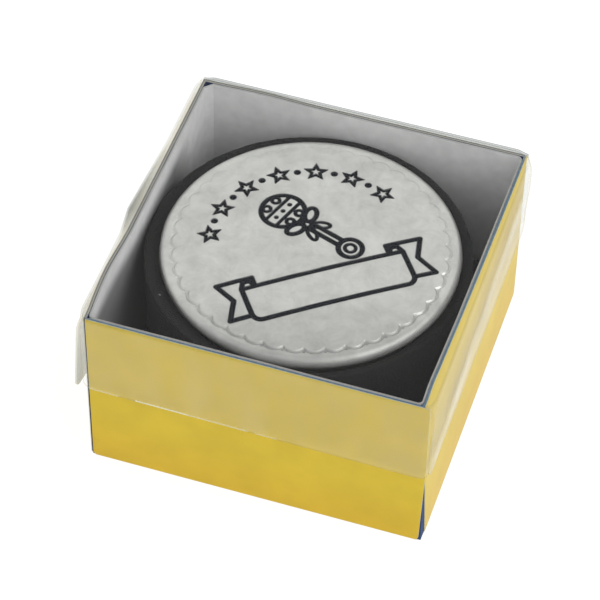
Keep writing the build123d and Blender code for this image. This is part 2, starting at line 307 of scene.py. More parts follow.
class Shell:
    """Points and faces of one piece while it is made."""

    def __init__(self):
        self.points = []
        self.faces = []
        self.slots = []

    def add(self, points):
        """Adds points and returns their numbers."""
        start = len(self.points)
        self.points.extend(tuple(point) for point in points)
        return list(range(start, len(self.points)))

    def face(self, corners, slot=0):
        self.faces.append(tuple(corners))
        self.slots.append(slot)

    def bridge(self, lower, upper, slot=0):
        """Quads between two closed rings of point numbers."""
        count = len(lower)
        for place in range(count):
            after = (place + 1) % count
            self.face((lower[place], lower[after], upper[after], upper[place]), slot)

    def cap(self, ring, centre, slot=0, flip=False):
        """Triangles from a ring to a point over its middle."""
        (middle,) = self.add([centre])
        for place, corner in enumerate(ring):
            after = ring[(place + 1) % len(ring)]
            self.face((after, corner, middle) if flip else (corner, after, middle), slot)

    def close(self, rings, foot, top):
        """Joins rings of point numbers in their order, and closes the two ends at these levels."""
        for lower, upper in zip(rings, rings[1:]):
            self.bridge(lower, upper)
        self.cap(rings[0], (0.0, 0.0, foot), flip=True)
        self.cap(rings[-1], (0.0, 0.0, top))

    def mesh(self, name):
        made = bpy.data.meshes.new(name)
        made.from_pydata(self.points, [], self.faces)
        made.polygons.foreach_set("material_index", self.slots)
        return made


def square_ring(half, radius, level, facet=0.0, side_steps=40):
    """Rounded square, anticlockwise from the front left. A facet cuts its back left corner."""
    bend_steps = 6
    points = []
    for quarter in range(4):
        cut = facet if quarter == 2 else 0.0
        start = half - (facet if quarter == 3 else radius)
        stop = half - (cut if cut else radius)
        run = [(x, -half) for x in np.linspace(-start, stop, side_steps, endpoint=False)]
        if cut:
            shares = np.linspace(0.0, 1.0, bend_steps, endpoint=False)
            bend = [(stop + cut * share, -half + cut * share) for share in shares]
        else:
            angles = np.linspace(-pi / 2, 0.0, bend_steps, endpoint=False)
            bend = [(stop + radius * cos(a), -stop + radius * sin(a)) for a in angles]
        swing = Matrix.Rotation(quarter * pi / 2, 2)
        points.extend(swing @ Vector(point) for point in run + bend)
    return np.array([(x, y, level) for x, y in points])


def ring_at(radius, level, count):
    """Circle of points, anticlockwise from +X."""
    angles = np.arange(count) * 2.0 * pi / count
    return np.stack([radius * np.cos(angles), radius * np.sin(angles), np.full(count, level)], -1)


def arc_profile(centre, radius, start, stop, steps):
    """Points (radius, level) of an arc in a section, from one angle to another in degrees."""
    angles = np.radians(np.linspace(start, stop, steps))
    return [(centre[0] + radius * cos(a), centre[1] + radius * sin(a)) for a in angles]


def collection_link(name, mesh, materials, sharp_degrees):
    """Puts a mesh into the scene as a smooth-shaded piece with its materials."""
    for material in materials:
        mesh.materials.append(material)
    mesh.polygons.foreach_set("use_smooth", [True] * len(mesh.polygons))
    mesh.set_sharp_from_angle(angle=radians(sharp_degrees))
    piece = bpy.data.objects.new(name, mesh)
    bpy.context.scene.collection.objects.link(piece)
    return piece


def baked(piece):
    """Applies the piece's modifiers to its mesh."""
    graph = bpy.context.evaluated_depsgraph_get()
    made = bpy.data.meshes.new_from_object(piece.evaluated_get(graph))
    piece.modifiers.clear()
    piece.data = made
    return piece


def joined(name, pieces, materials, sharp_degrees):
    """One piece made of several, which share its list of materials."""
    shell = Shell()
    for piece in pieces:
        mesh = piece.data
        numbers = shell.add([vertex.co for vertex in mesh.vertices])
        for polygon in mesh.polygons:
            shell.face([numbers[corner] for corner in polygon.vertices], polygon.material_index)
        bpy.data.objects.remove(piece)
    return collection_link(name, shell.mesh(name), materials, sharp_degrees)


class FoldedSheet:
    """Outer surface of a cross-shaped sheet: a square panel at level 0 with four flaps folded down.

    Side 0 is the front, and the others follow anticlockwise. Each point keeps its side (-1 on the
    panel), its place along the side and its depth, so that a piece can be bent by them.
    """

    def __init__(self, half, radius, depths, ends, columns):
        reach = half - radius
        ticks = np.linspace(-reach, reach, columns + 1)
        self.points = [(x, y, 0.0) for y in ticks for x in ticks]
        self.side = [-1] * len(self.points)
        self.along = [0.0] * len(self.points)
        self.depth = [0.0] * len(self.points)
        wide = columns + 1
        self.faces = []
        for row in range(columns):
            for column in range(columns):
                corner = row * wide + column
                self.faces.append((corner, corner + 1, corner + wide + 1, corner + wide))
        borders = [
            list(range(wide)),
            [row * wide + columns for row in range(wide)],
            [columns * wide + columns - column for column in range(wide)],
            [(columns - row) * wide for row in range(wide)],
        ]
        fold_steps = 5
        stations = []
        for step in range(1, fold_steps + 1):
            angle = pi / 2 * step / fold_steps
            stations.append((reach + radius * sin(angle), radius * (1.0 - cos(angle)), sin(angle)))
        stations += [(half, depth, 1.0) for depth in depths]
        for side, above in enumerate(borders):
            heading = (cos(side * pi / 2), sin(side * pi / 2))
            for out, depth, share in stations:
                left, right = ends(side, depth)
                low, high = -out + left * share, out - right * share
                row = []
                for along in np.linspace(low, high, wide):
                    row.append(len(self.points))
                    x = along * heading[0] + out * heading[1]
                    y = along * heading[1] - out * heading[0]
                    self.points.append((x, y, -depth))
                    self.side.append(side)
                    self.along.append(along)
                    self.depth.append(depth)
                for place in range(columns):
                    self.faces.append((row[place], row[place + 1], above[place + 1], above[place]))
                above = row
        self.points = np.array(self.points)
        self.side = np.array(self.side)
        self.along = np.array(self.along)
        self.depth = np.array(self.depth)
        self.shares = {}

    def push(self, chosen, distance):
        """Moves the chosen points straight away from their side's wall."""
        angle = self.side[chosen] * pi / 2
        self.points[chosen, 0] += distance * np.sin(angle)
        self.points[chosen, 1] -= distance * np.cos(angle)

    def thicken(self, name, thickness, rounding, materials, upside_down):
        """The sheet as a closed piece.

        The first material is outside, the second inside and the third on cut edges.
        """
        shell = Shell()
        points = self.points * (1.0, 1.0, -1.0) if upside_down else self.points
        shell.add(points)
        for corners in self.faces:
            shell.face(corners[::-1] if upside_down else corners)
        mesh = shell.mesh(name)
        for label, values in self.shares.items():
            share = mesh.attributes.new(label, "FLOAT", "POINT")
            share.data.foreach_set("value", values.astype(np.float32))
        piece = collection_link(name, mesh, materials, 40)
        solid = piece.modifiers.new("thickness", "SOLIDIFY")
        solid.thickness = thickness
        solid.offset = -1.0
        solid.use_even_offset = True
        solid.material_offset = 1
        solid.material_offset_rim = 2
        bevel = piece.modifiers.new("edge rounding", "BEVEL")
        bevel.width = rounding
        bevel.segments = 2
        bevel.limit_method = "ANGLE"
        bevel.angle_limit = radians(50)
        return baked(piece)


# Materials


def per(millimetres):
    """Texture scale that gives features of this size."""
    return 1.0 / (millimetres * MM)


def add(tree, kind, inputs=None, **settings):
    """Adds a node. An input is a value for its socket, or another node's output to link to it."""
    made = tree.nodes.new(kind)
    for name, value in settings.items():
        setattr(made, name, value)
    for socket, value in (inputs or {}).items():
        if isinstance(value, bpy.types.NodeSocket):
            tree.links.new(value, made.inputs[socket])
        else:
            made.inputs[socket].default_value = value
    return made


# Sockets of the mix node when it mixes colours.
MIX_A = 6
MIX_B = 7
MIX_RESULT = 2


def empty_material(name):
    """A material with no nodes, and its tree."""
    material = bpy.data.materials.new(name)
    material.use_nodes = True
    material.node_tree.nodes.clear()
    return material, material.node_tree


def place_of(tree):
    """Place on the piece in metres, which stays with it when it moves."""
    return add(tree, "ShaderNodeTexCoord").outputs["Object"]


def printed_carton_board(card):
    """Carton board, offset printed yellow and sealed with a satin coating."""
    material, tree = empty_material("printed_carton_board")
    place = place_of(tree)
    # Board pulp is cloudy, so the ink lies a little lighter and darker in patches of some millimetres.
    clouds = add(tree, "ShaderNodeTexNoise", {"Vector": place, "Scale": per(4.0), "Detail": 4.0})
    shade = add(
        tree,
        "ShaderNodeMapRange",
        {"Value": clouds.outputs["Fac"], "From Min": 0.3, "From Max": 0.7, "To Min": 0.93, "To Max": 1.03},
    )
    # The lowest millimetres take a deeper yellow, blending in from 9 mm above the foot down to it.
    level = add(tree, "ShaderNodeSeparateXYZ", {"Vector": place}).outputs["Z"]
    rubbing = add(tree, "ShaderNodeMapRange", {"Value": level, "From Min": 9.0 * MM, "From Max": 0.5 * MM})
    worn = add(
        tree,
        "ShaderNodeMix",
        {"Factor": rubbing.outputs["Result"], MIX_A: card.yellow, MIX_B: card.rubbed},
        data_type="RGBA",
    )
    ink = add(
        tree,
        "ShaderNodeMix",
        {"Factor": 1.0, MIX_A: worn.outputs[MIX_RESULT], MIX_B: shade.outputs["Result"]},
        data_type="RGBA",
        blend_type="MULTIPLY",
    )
    # Paper fibres under the coating show as a fine grain in the gloss, drawn at 0.3 mm to be seen.
    fibres = add(tree, "ShaderNodeTexNoise", {"Vector": place, "Scale": per(0.3), "Detail": 3.0})
    waves = add(tree, "ShaderNodeTexNoise", {"Vector": place, "Scale": per(7.0), "Detail": 1.0})
    grain = add(
        tree, "ShaderNodeBump", {"Strength": 0.10, "Distance": 0.02 * MM, "Height": fibres.outputs["Fac"]}
    )
    waviness = add(
        tree,
        "ShaderNodeBump",
        {
            "Strength": 0.5,
            "Distance": 0.12 * MM,
            "Height": waves.outputs["Fac"],
            "Normal": grain.outputs[0],
        },
    )
    gloss = add(
        tree,
        "ShaderNodeMapRange",
        {"Value": fibres.outputs["Fac"], "From Min": 0.3, "From Max": 0.7, "To Min": 0.3, "To Max": 0.4},
    )
    board = add(
        tree,
        "ShaderNodeBsdfPrincipled",
        {
            "Base Color": ink.outputs[MIX_RESULT],
            "Roughness": gloss.outputs["Result"],
            "Normal": waviness.outputs[0],
            "IOR": 1.5,
            "Specular IOR Level": 0.1,
        },
    )
    add(tree, "ShaderNodeOutputMaterial", {"Surface": board.outputs[0]})
    return material


def fibrous_board(name, colour, second, feature, roughness, far_colour=None, left_wall_shade=None):
    """Bare board, as milled pulp: matt, with short fibres that differ a little in colour.

    The rims of the left and back walls take the far colour if there is one, duller than on the front and
    right walls.
    The left side takes the shade colour, if there is one: painted shade low on the left wall, above the foam.
    """
    material, tree = empty_material(name)
    place = place_of(tree)
    fibres = add(tree, "ShaderNodeTexNoise", {"Vector": place, "Scale": per(feature), "Detail": 5.0})
    share = add(
        tree, "ShaderNodeMapRange", {"Value": fibres.outputs["Fac"], "From Min": 0.35, "From Max": 0.65}
    )
    pulp = add(
        tree,
        "ShaderNodeMix",
        {"Factor": share.outputs["Result"], MIX_A: colour, MIX_B: second},
        data_type="RGBA",
    )
    if far_colour is not None:
        axes = add(tree, "ShaderNodeSeparateXYZ", {"Vector": place})
        farness = add(
            tree, "ShaderNodeMath", {0: axes.outputs["Y"], 1: axes.outputs["X"]}, operation="SUBTRACT"
        )
        far = add(
            tree,
            "ShaderNodeMapRange",
            {"Value": farness.outputs[0], "From Min": -1.0 * MM, "From Max": 1.0 * MM},
        )
        pulp = add(
            tree,
            "ShaderNodeMix",
            {"Factor": far.outputs["Result"], MIX_A: pulp.outputs[MIX_RESULT], MIX_B: far_colour},
            data_type="RGBA",
        )
    if left_wall_shade is not None:
        axes = add(tree, "ShaderNodeSeparateXYZ", {"Vector": place})
        # Painted shade starts 3 mm above the foam on the left wall's inner face, and ends before the facet.
        # Each row has an axis, where in millimetres the shade begins and is full, its share and its curve.
        limits = (
            ("Z", 25.6, 22.6, 0.72, "SMOOTHSTEP"),
            ("X", -21.0, -21.4, 1.0, "LINEAR"),
            ("Y", 15.0, 9.0, 1.0, "LINEAR"),
        )
        # Share of painted shade, multiplied up from the rows.
        rubbed = 1.0
        for axis, clean, full, most, curve in limits:
            within = add(
                tree,
                "ShaderNodeMapRange",
                {"Value": axes.outputs[axis], "From Min": clean * MM, "From Max": full * MM, "To Max": most},
                interpolation_type=curve,
            )
            rubbed = add(
                tree, "ShaderNodeMath", {0: rubbed, 1: within.outputs["Result"]}, operation="MULTIPLY"
            ).outputs[0]
        pulp = add(
            tree,
            "ShaderNodeMix",
            {"Factor": rubbed, MIX_A: pulp.outputs[MIX_RESULT], MIX_B: left_wall_shade},
            data_type="RGBA",
        )
    nap = add(
        tree, "ShaderNodeBump", {"Strength": 0.25, "Distance": 0.03 * MM, "Height": fibres.outputs["Fac"]}
    )
    board = add(
        tree,
        "ShaderNodeBsdfPrincipled",
        {
            "Base Color": pulp.outputs[MIX_RESULT],
            "Roughness": roughness,
            "Normal": nap.outputs[0],
            "IOR": 1.5,
        },
    )
    add(tree, "ShaderNodeOutputMaterial", {"Surface": board.outputs[0]})
    return material


def scaled(colour, factor):
    """The same colour, lighter or darker."""
    return [min(1.0, channel * factor) for channel in colour[:3]] + [1.0]


def closed_cell_foam(foam):
    """Black polyethylene foam, expanded and sliced: matt, with an open skin of small cut cells."""
    material, tree = empty_material("closed_cell_foam")
    place = place_of(tree)
    cells = add(
        tree, "ShaderNodeTexVoronoi", {"Vector": place, "Scale": 1.0 / foam.cell}, feature="F1"
    )
    pits = add(
        tree, "ShaderNodeMapRange", {"Value": cells.outputs["Distance"], "To Min": 1.0, "To Max": 0.55}
    )
    lit = add(
        tree,
        "ShaderNodeMix",
        {"Factor": 1.0, MIX_A: foam.black, MIX_B: pits.outputs["Result"]},
        data_type="RGBA",
        blend_type="MULTIPLY",
    )
    # A few specks of dust, about 0.3 mm across and 5 mm apart, cling to it.
    specks = add(tree, "ShaderNodeTexVoronoi", {"Vector": place, "Scale": per(5.0)}, feature="F1")
    speck = add(
        tree,
        "ShaderNodeMapRange",
        {"Value": specks.outputs["Distance"], "From Min": 0.045, "From Max": 0.03, "To Max": 0.8},
    )
    dusty = add(
        tree,
        "ShaderNodeMix",
        {"Factor": speck.outputs["Result"], MIX_A: lit.outputs[MIX_RESULT], MIX_B: foam.dust},
        data_type="RGBA",
    )
    skin = add(
        tree, "ShaderNodeBump", {"Strength": 0.6, "Distance": 0.2 * MM, "Height": cells.outputs["Distance"]}
    )
    body = add(
        tree,
        "ShaderNodeBsdfPrincipled",
        {
            "Base Color": dusty.outputs[MIX_RESULT],
            "Roughness": 0.95,
            "Normal": skin.outputs[0],
            "IOR": 1.45,
        },
    )
    add(tree, "ShaderNodeOutputMaterial", {"Surface": body.outputs[0]})
    return material


def pressed_felt(foam):
    """Navy wool felt, pressed and punched: soft sheen from loose fibres over a matt mat."""
    material, tree = empty_material("pressed_felt")
    place = place_of(tree)
    fibres = add(
        tree, "ShaderNodeTexNoise", {"Vector": place, "Scale": per(0.35), "Detail": 6.0, "Distortion": 1.5}
    )
    share = add(
        tree, "ShaderNodeMapRange", {"Value": fibres.outputs["Fac"], "From Min": 0.3, "From Max": 0.7}
    )
    wool = add(
        tree,
        "ShaderNodeMix",
        {"Factor": share.outputs["Result"], MIX_A: scaled(foam.felt, 0.6), MIX_B: scaled(foam.felt, 1.5)},
        data_type="RGBA",
    )
    nap = add(
        tree, "ShaderNodeBump", {"Strength": 0.8, "Distance": 0.15 * MM, "Height": fibres.outputs["Fac"]}
    )
    mat = add(
        tree,
        "ShaderNodeBsdfPrincipled",
        {
            "Base Color": wool.outputs[MIX_RESULT],
            "Roughness": 0.95,
            "Normal": nap.outputs[0],
            "Sheen Weight": 0.35,
            "Sheen Roughness": 0.5,
        },
    )
    add(tree, "ShaderNodeOutputMaterial", {"Surface": mat.outputs[0]})
    return material


def cast_pewter(pewter):
    """Cast pewter, rubbed to a satin by hand, with the engraving blackened and wiped off again."""
    material, tree = empty_material("cast_pewter")
    place = place_of(tree)
    # Besides the engraving's fill, the blackening share carries painted shade over the front of the lid.
    black = add(tree, "ShaderNodeAttribute", attribute_name="blackening").outputs["Fac"]
    # Rubbing leaves cloudy patches a few millimetres wide, some duller and darker than others.
    clouds = add(
        tree,
        "ShaderNodeTexNoise",
        {"Vector": place, "Scale": per(3.0), "Detail": 6.0, "Roughness": 0.72, "Distortion": 0.4},
    )
    tarnish = add(
        tree,
        "ShaderNodeMapRange",
        {"Value": clouds.outputs["Fac"], "From Min": 0.3, "From Max": 0.7, "To Min": 0.78, "To Max": 1.05},
    )
    metal = add(
        tree,
        "ShaderNodeMix",
        {"Factor": 1.0, MIX_A: pewter.silver, MIX_B: tarnish.outputs["Result"]},
        data_type="RGBA",
        blend_type="MULTIPLY",
    )
    coloured = add(
        tree,
        "ShaderNodeMix",
        {"Factor": black, MIX_A: metal.outputs[MIX_RESULT], MIX_B: pewter.blackening},
        data_type="RGBA",
    )
    # The grit of the rubbing pad leaves grain about 0.2 mm across.
    grit = add(tree, "ShaderNodeTexNoise", {"Vector": place, "Scale": per(0.22), "Detail": 3.0})
    satin = add(
        tree,
        "ShaderNodeMapRange",
        {
            "Value": clouds.outputs["Fac"],
            "From Min": 0.3,
            "From Max": 0.7,
            "To Min": pewter.roughness + 0.06,
            "To Max": pewter.roughness - 0.06,
        },
    )
    dull = add(
        tree,
        "ShaderNodeMapRange",
        {"Value": black, "To Min": satin.outputs["Result"], "To Max": 0.75},
    )
    bare = add(tree, "ShaderNodeMapRange", {"Value": black, "To Min": 1.0, "To Max": 0.15})
    grain = add(
        tree, "ShaderNodeBump", {"Strength": 0.12, "Distance": 0.03 * MM, "Height": grit.outputs["Fac"]}
    )
    hollows = add(
        tree,
        "ShaderNodeBump",
        {
            "Strength": 0.35,
            "Distance": 0.1 * MM,
            "Height": clouds.outputs["Fac"],
            "Normal": grain.outputs[0],
        },
    )
    body = add(
        tree,
        "ShaderNodeBsdfPrincipled",
        {
            "Base Color": coloured.outputs[MIX_RESULT],
            "Metallic": bare.outputs["Result"],
            "Roughness": dull.outputs["Result"],
            "Normal": hollows.outputs[0],
            "Specular IOR Level": 0.15,
        },
    )
    add(tree, "ShaderNodeOutputMaterial", {"Surface": body.outputs[0]})
    return material


def clear_film(film):
    """Clear polyester film, cast and creased: it mirrors more the flatter it is seen, with some haze."""
    material, tree = empty_material("clear_polyester_film")
    place = place_of(tree)
    ripple = add(tree, "ShaderNodeTexNoise", {"Vector": place, "Scale": per(5.0), "Detail": 2.0})
    wavy = add(
        tree, "ShaderNodeBump", {"Strength": 0.4, "Distance": 0.12 * MM, "Height": ripple.outputs["Fac"]}
    )
    facing = add(tree, "ShaderNodeLayerWeight", {"Blend": 0.5, "Normal": wavy.outputs[0]}).outputs["Facing"]
    fifth = add(tree, "ShaderNodeMath", {0: facing, 1: 5.0}, operation="POWER")
    mirror_share = add(
        tree, "ShaderNodeMapRange", {"Value": fifth.outputs[0], "To Min": film.gloss, "To Max": film.sheen}
    )
    # Painted shade greys the see-through colour where the film is folded or bent hard and bends light away.
    bent = add(tree, "ShaderNodeAttribute", attribute_name="bend").outputs["Fac"]
    shade_greyed = add(
        tree,
        "ShaderNodeMix",
        {"Factor": bent, MIX_A: (0.985, 0.99, 0.985, 1.0), MIX_B: film.fold_shade_tint},
        data_type="RGBA",
    )
    through = add(tree, "ShaderNodeBsdfTransparent", {"Color": shade_greyed.outputs[MIX_RESULT]})
    mirror = add(tree, "ShaderNodeBsdfGlossy", {"Roughness": 0.12, "Normal": wavy.outputs[0]})
    dust = add(tree, "ShaderNodeBsdfDiffuse", {"Color": film.haze_tint})
    # Rubbing has left the flaps milky in streaks that run down them.
    milky = add(tree, "ShaderNodeAttribute", attribute_name="haze").outputs["Fac"]
    streak_place = add(
        tree, "ShaderNodeMapping", {"Vector": place, "Scale": (1.0, 1.0, 0.35)}
    ).outputs[0]
    streaks = add(tree, "ShaderNodeTexNoise", {"Vector": streak_place, "Scale": per(3.5), "Detail": 4.0})
    streaky = add(
        tree,
        "ShaderNodeMapRange",
        {
            "Value": streaks.outputs["Fac"],
            "From Min": 0.35,
            "From Max": 0.65,
            "To Min": 0.75,
            "To Max": 1.25,
        },
    )
    haze = add(tree, "ShaderNodeMath", {0: milky, 1: streaky.outputs["Result"]}, operation="MULTIPLY")
    dusty = add(
        tree, "ShaderNodeMixShader", {"Fac": haze.outputs[0], 1: through.outputs[0], 2: dust.outputs[0]}
    )
    body = add(
        tree,
        "ShaderNodeMixShader",
        {"Fac": mirror_share.outputs["Result"], 1: dusty.outputs[0], 2: mirror.outputs[0]},
    )
    add(tree, "ShaderNodeOutputMaterial", {"Surface": body.outputs[0]})
    return material


def film_cut_edge(film):
    """The film's knife-cut edge, which gathers light: a pale line that breaks into glints."""
    material, tree = empty_material("film_cut_edge")
    glint = add(tree, "ShaderNodeAttribute", attribute_name="glint").outputs["Fac"]
    through = add(tree, "ShaderNodeBsdfTransparent", {"Color": (0.9, 0.88, 0.8, 1.0)})
    pale = add(
        tree, "ShaderNodeBsdfPrincipled", {"Base Color": film.edge_tint, "Roughness": 0.25, "IOR": 1.57}
    )
    body = add(tree, "ShaderNodeMixShader", {"Fac": glint, 1: through.outputs[0], 2: pale.outputs[0]})
    add(tree, "ShaderNodeOutputMaterial", {"Surface": body.outputs[0]})
    return material


def lit_opal_acrylic(studio):
    """Opal acrylic of a light table, lit from below: even white, with hardly a shadow on it."""
    material, tree = empty_material("lit_opal_acrylic")
    table = add(
        tree,
        "ShaderNodeBsdfPrincipled",
        {
            "Base Color": studio.floor,
            "Roughness": 0.9,
            "Specular IOR Level": 0.1,
            "Emission Color": (1.0, 1.0, 1.0, 1.0),
            "Emission Strength": studio.glow,
        },
    )
    add(tree, "ShaderNodeOutputMaterial", {"Surface": table.outputs[0]})
    return material


# Card pieces


def by_wall(outward, zone, steepness):
    """Share of a wall's movement that a point takes: 1 at its outer face, 0 farther in than the zone."""
    return smooth((outward - tray_high.x + zone) / zone * steepness)


def settled(points, card):
    """Card that has given way.

    The front wall's rim has sunk, the right wall leans in, and the left and back walls bow out.
    """
    points = sunk_front(points, card)
    half = tray_high.x
    height = np.clip(points[:, 2] / tray_high.z, 0.0, 1.0)
    # A wall gives way most at its rim, and the leaning one more evenly than the bowed ones.
    leaning, bowed = height**1.4, height**3
    zone, steepness = 5.0 * MM, 1.25
    x, y = points[:, 0].copy(), points[:, 1].copy()
    towards_front = np.clip((half - y) / (2.0 * half), 0.0, 1.0)
    lean = card.lean_back + (card.lean_front - card.lean_back) * towards_front**2
    points[:, 0] -= lean * leaning * by_wall(x, zone, steepness)
    left = card.left_bow * bump((y + card.bow_place) / card.bow_spread)
    points[:, 0] -= left * bowed * by_wall(-x, zone, steepness)
    back = card.back_lean + card.back_bow * bump((x + card.bow_place) / card.bow_spread)
    points[:, 1] += back * bowed * by_wall(y, zone, steepness)
    return points


def sunk_front(points, card):
    """Points of the card with the front wall's rim pressed down, most at its right end."""
    points = np.array(points, float)
    half = tray_high.x
    height = np.clip(points[:, 2] / tray_high.z, 0.0, 1.0)
    zone, steepness = 4.0 * MM, 1.3
    share = np.clip((points[:, 0] + half) / (2.0 * half), 0.0, 1.0)
    dip = card.dip_left + (card.dip_right - card.dip_left) * share
    points[:, 2] -= dip * height**4 * by_wall(-points[:, 1], zone, steepness)
    return points


def tray_ends(card):
    """How far each wall's two ends stop short of the corner, by the height above the foot."""

    def rounded_foot(height):
        missing = max(0.0, card.foot_radius - height)
        return card.foot_radius - sqrt(card.foot_radius**2 - missing**2)

    def ends(side, height):
        open_share = max(0.0, 1.0 - height / card.seam_open_height)
        foot = rounded_foot(height)
        lapping = 0.01 * MM
        seam = {
            0: (card.lap_gap, card.seam_setback * open_share + lapping),
            1: (card.lap_gap + card.seam_foot_gap * open_share, lapping),
            2: (card.lap_gap, card.lap_gap),
            3: (lapping, lapping),
        }
        left, right = seam[side]
        return left + foot, right + foot

    return ends


def make_card_tray(card):
    """Printed face paper over a navy core, with its walls' ends meeting at the corners."""
    half = tray_high.x
    height = tray_high.z
    fold = card.fold_radius
    # Rows lie close together in the rounded foot and far apart above it.
    low_rows = fold + (card.foot_radius - fold) * np.linspace(0.2, 1.0, 5)
    depths = [*low_rows, *np.linspace(card.foot_radius, height, 26)[1:]]
    paper = FoldedSheet(half, fold, depths, tray_ends(card), 64)
    walls = paper.side != 0
    upright = paper.points * (1.0, 1.0, -1.0)
    bent = np.where(walls[:, None], settled(upright, card), sunk_front(upright, card))
    paper.points = bent * (1.0, 1.0, -1.0)
    # The paper's pale edge carries a painted highlight; the left and back walls take the far colour.
    worn, cut, dusty = card.pale_edge_and_highlight, card.cut_edge, card.far_rim_edge
    materials = [
        printed_carton_board(card),
        fibrous_board("dyed_board_core", card.navy, scaled(card.navy, 0.6), 0.4, 0.75),
        fibrous_board("paper_edge_and_highlight", worn, scaled(worn, 0.8), 0.5, 0.7, dusty),
        fibrous_board("cut_board_edge", cut, scaled(cut, 0.7), 0.5, 0.7, dusty),
    ]
    core_slot, edge_slot = 1, 3
    face = paper.thicken("card_face", card.face_paper, card.edge_round, materials, True)

    core = Shell()
    board = 0.4 * MM
    hair = 0.01 * MM
    inner = half - board
    outer = half - card.face_paper - hair
    rim = height - 2.0 * hair
    soft = 0.04 * MM
    profile = [(outer - half * share, card.face_paper) for share in (0.9, 0.6, 0.3)]
    profile += [(outer - soft, card.face_paper), (outer, card.face_paper + soft)]
    profile += [(outer, level) for level in np.linspace(1.0 * MM, rim - soft, 20)]
    wall_top = len(profile)
    profile += [(outer - soft, rim), (inner + soft, rim)]
    wall_inside = len(profile)
    profile += [(inner, level) for level in np.linspace(rim - soft, 2.0 * card.face_paper, 20)]
    profile += [(inner - half * share, 2.0 * card.face_paper) for share in (0.3, 0.6, 0.9)]
    rings = [core.add(settled(square_ring(reach, soft * 2, level), card)) for reach, level in profile]
    for place, (lower, upper) in enumerate(zip(rings, rings[1:])):
        on_rim = wall_top - 1 <= place < wall_inside
        core.bridge(lower, upper, edge_slot if on_rim else core_slot)
    core.cap(rings[0], (0.0, 0.0, card.face_paper), core_slot, flip=True)
    core.cap(rings[-1], (0.0, 0.0, 2.0 * card.face_paper), core_slot)
    body = collection_link("card_core", core.mesh("card_core"), materials, 40)
    tray = joined("card_tray_folded", [face, body], materials, 40)
    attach(tray, "tray")
    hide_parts("card_tray")


def make_tray_liner(card):
    """Collar of grey card inside the walls, with a slanted facet where it closes."""
    outer = liner_high.x
    thickness = card.liner_thickness
    inner = outer - thickness
    outer_facet = card.facet + thickness * (2.0 - sqrt(2.0))
    soft = 0.05 * MM
    foot, rim = liner_low.z, liner_high.z
    shell = Shell()

    def ring(reach, level):
        share = (outer - reach) / thickness
        facet = outer_facet + (card.facet - outer_facet) * share
        radius = card.bend_radius + thickness * (1.0 - share)
        return square_ring(reach, radius, level, facet, side_steps=60)

    levels = np.linspace(foot + soft, rim - soft, 24)
    profile = [(outer - soft, foot)] + [(outer, level) for level in levels] + [(outer - soft, rim)]
    rim_start = len(profile) - 1
    profile += [(inner + soft, rim)] + [(inner, level) for level in levels[::-1]] + [(inner + soft, foot)]
    rings = []
    for reach, level in profile:
        points = settled(ring(reach, level), card)
        # The card has taken up a little moisture and is not quite flat between its bends.
        waves = soft_noise(points, 9.0 * MM, 3) * 0.05 * MM
        points[:, 0] += waves * np.sign(points[:, 0]) * (np.abs(points[:, 0]) > np.abs(points[:, 1]))
        points[:, 1] += waves * np.sign(points[:, 1]) * (np.abs(points[:, 1]) >= np.abs(points[:, 0]))
        rings.append(shell.add(points))
    for place, lower in enumerate(rings):
        upper = rings[(place + 1) % len(rings)]
        cut = place in (rim_start - 1, rim_start, rim_start + 1, len(rings) - 1, len(rings) - 2)
        shell.bridge(lower, upper, int(cut))
    light, dark = card.grey, scaled(card.grey, 0.9)
    # The collar's face carries painted shade low on its left wall.
    face = fibrous_board("grey_lining_board", light, dark, 1.6, 0.62, left_wall_shade=card.left_wall_shade)
    # On the left and back walls the collar's cut edge takes a darker grey.
    pale, dim, far = card.grey_edge, scaled(card.grey_edge, 0.85), scaled(card.grey, 0.5)
    edge = fibrous_board("grey_board_edge", pale, dim, 0.4, 0.7, far)
    liner = collection_link("tray_liner_collar", shell.mesh("tray_liner_collar"), [face, edge], 40)
    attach(liner, "tray")
    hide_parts("tray_liner")


# Foam and felt


def rough_up(shell, depth, feature, seed):
    """Moves every point of a shell a little, so that its skin is not machine flat."""
    points = np.array(shell.points)
    shifts = [soft_noise(points, feature, seed + axis) for axis in range(3)]
    moved = points + depth * np.stack(shifts, -1)
    shell.points = [tuple(point) for point in moved]


def make_foam_pad(foam, material):
    """Plain pad on the tray's floor."""
    half, radius = pad_high.x, foam.corner_radius
    soft = 0.35 * MM
    foot, top = pad_low.z, pad_high.z
    section = [(half * share, foot) for share in np.linspace(0.04, 0.98, 20)]
    section += arc_profile((half - soft, foot + soft), soft, -90, 0, 4)
    section += [(half, level) for level in np.linspace(foot + soft, top - soft, 7)[1:-1]]
    section += arc_profile((half - soft, top - soft), soft, 0, 90, 4)
    section += [(half * share, top) for share in np.linspace(0.98, 0.04, 20)]
    shell = Shell()
    rings = []
    for reach, level in section:
        bend = max(radius * reach / half, 0.05 * MM)
        rings.append(shell.add(square_ring(reach, bend, level, side_steps=36)))
    shell.close(rings, foot, top)
    rough_up(shell, 0.06 * MM, 1.2 * MM, 1)
    piece = collection_link("foam_pad_bed", shell.mesh("foam_pad_bed"), [material], 60)
    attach(piece, "tray")
    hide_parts("foam_pad")


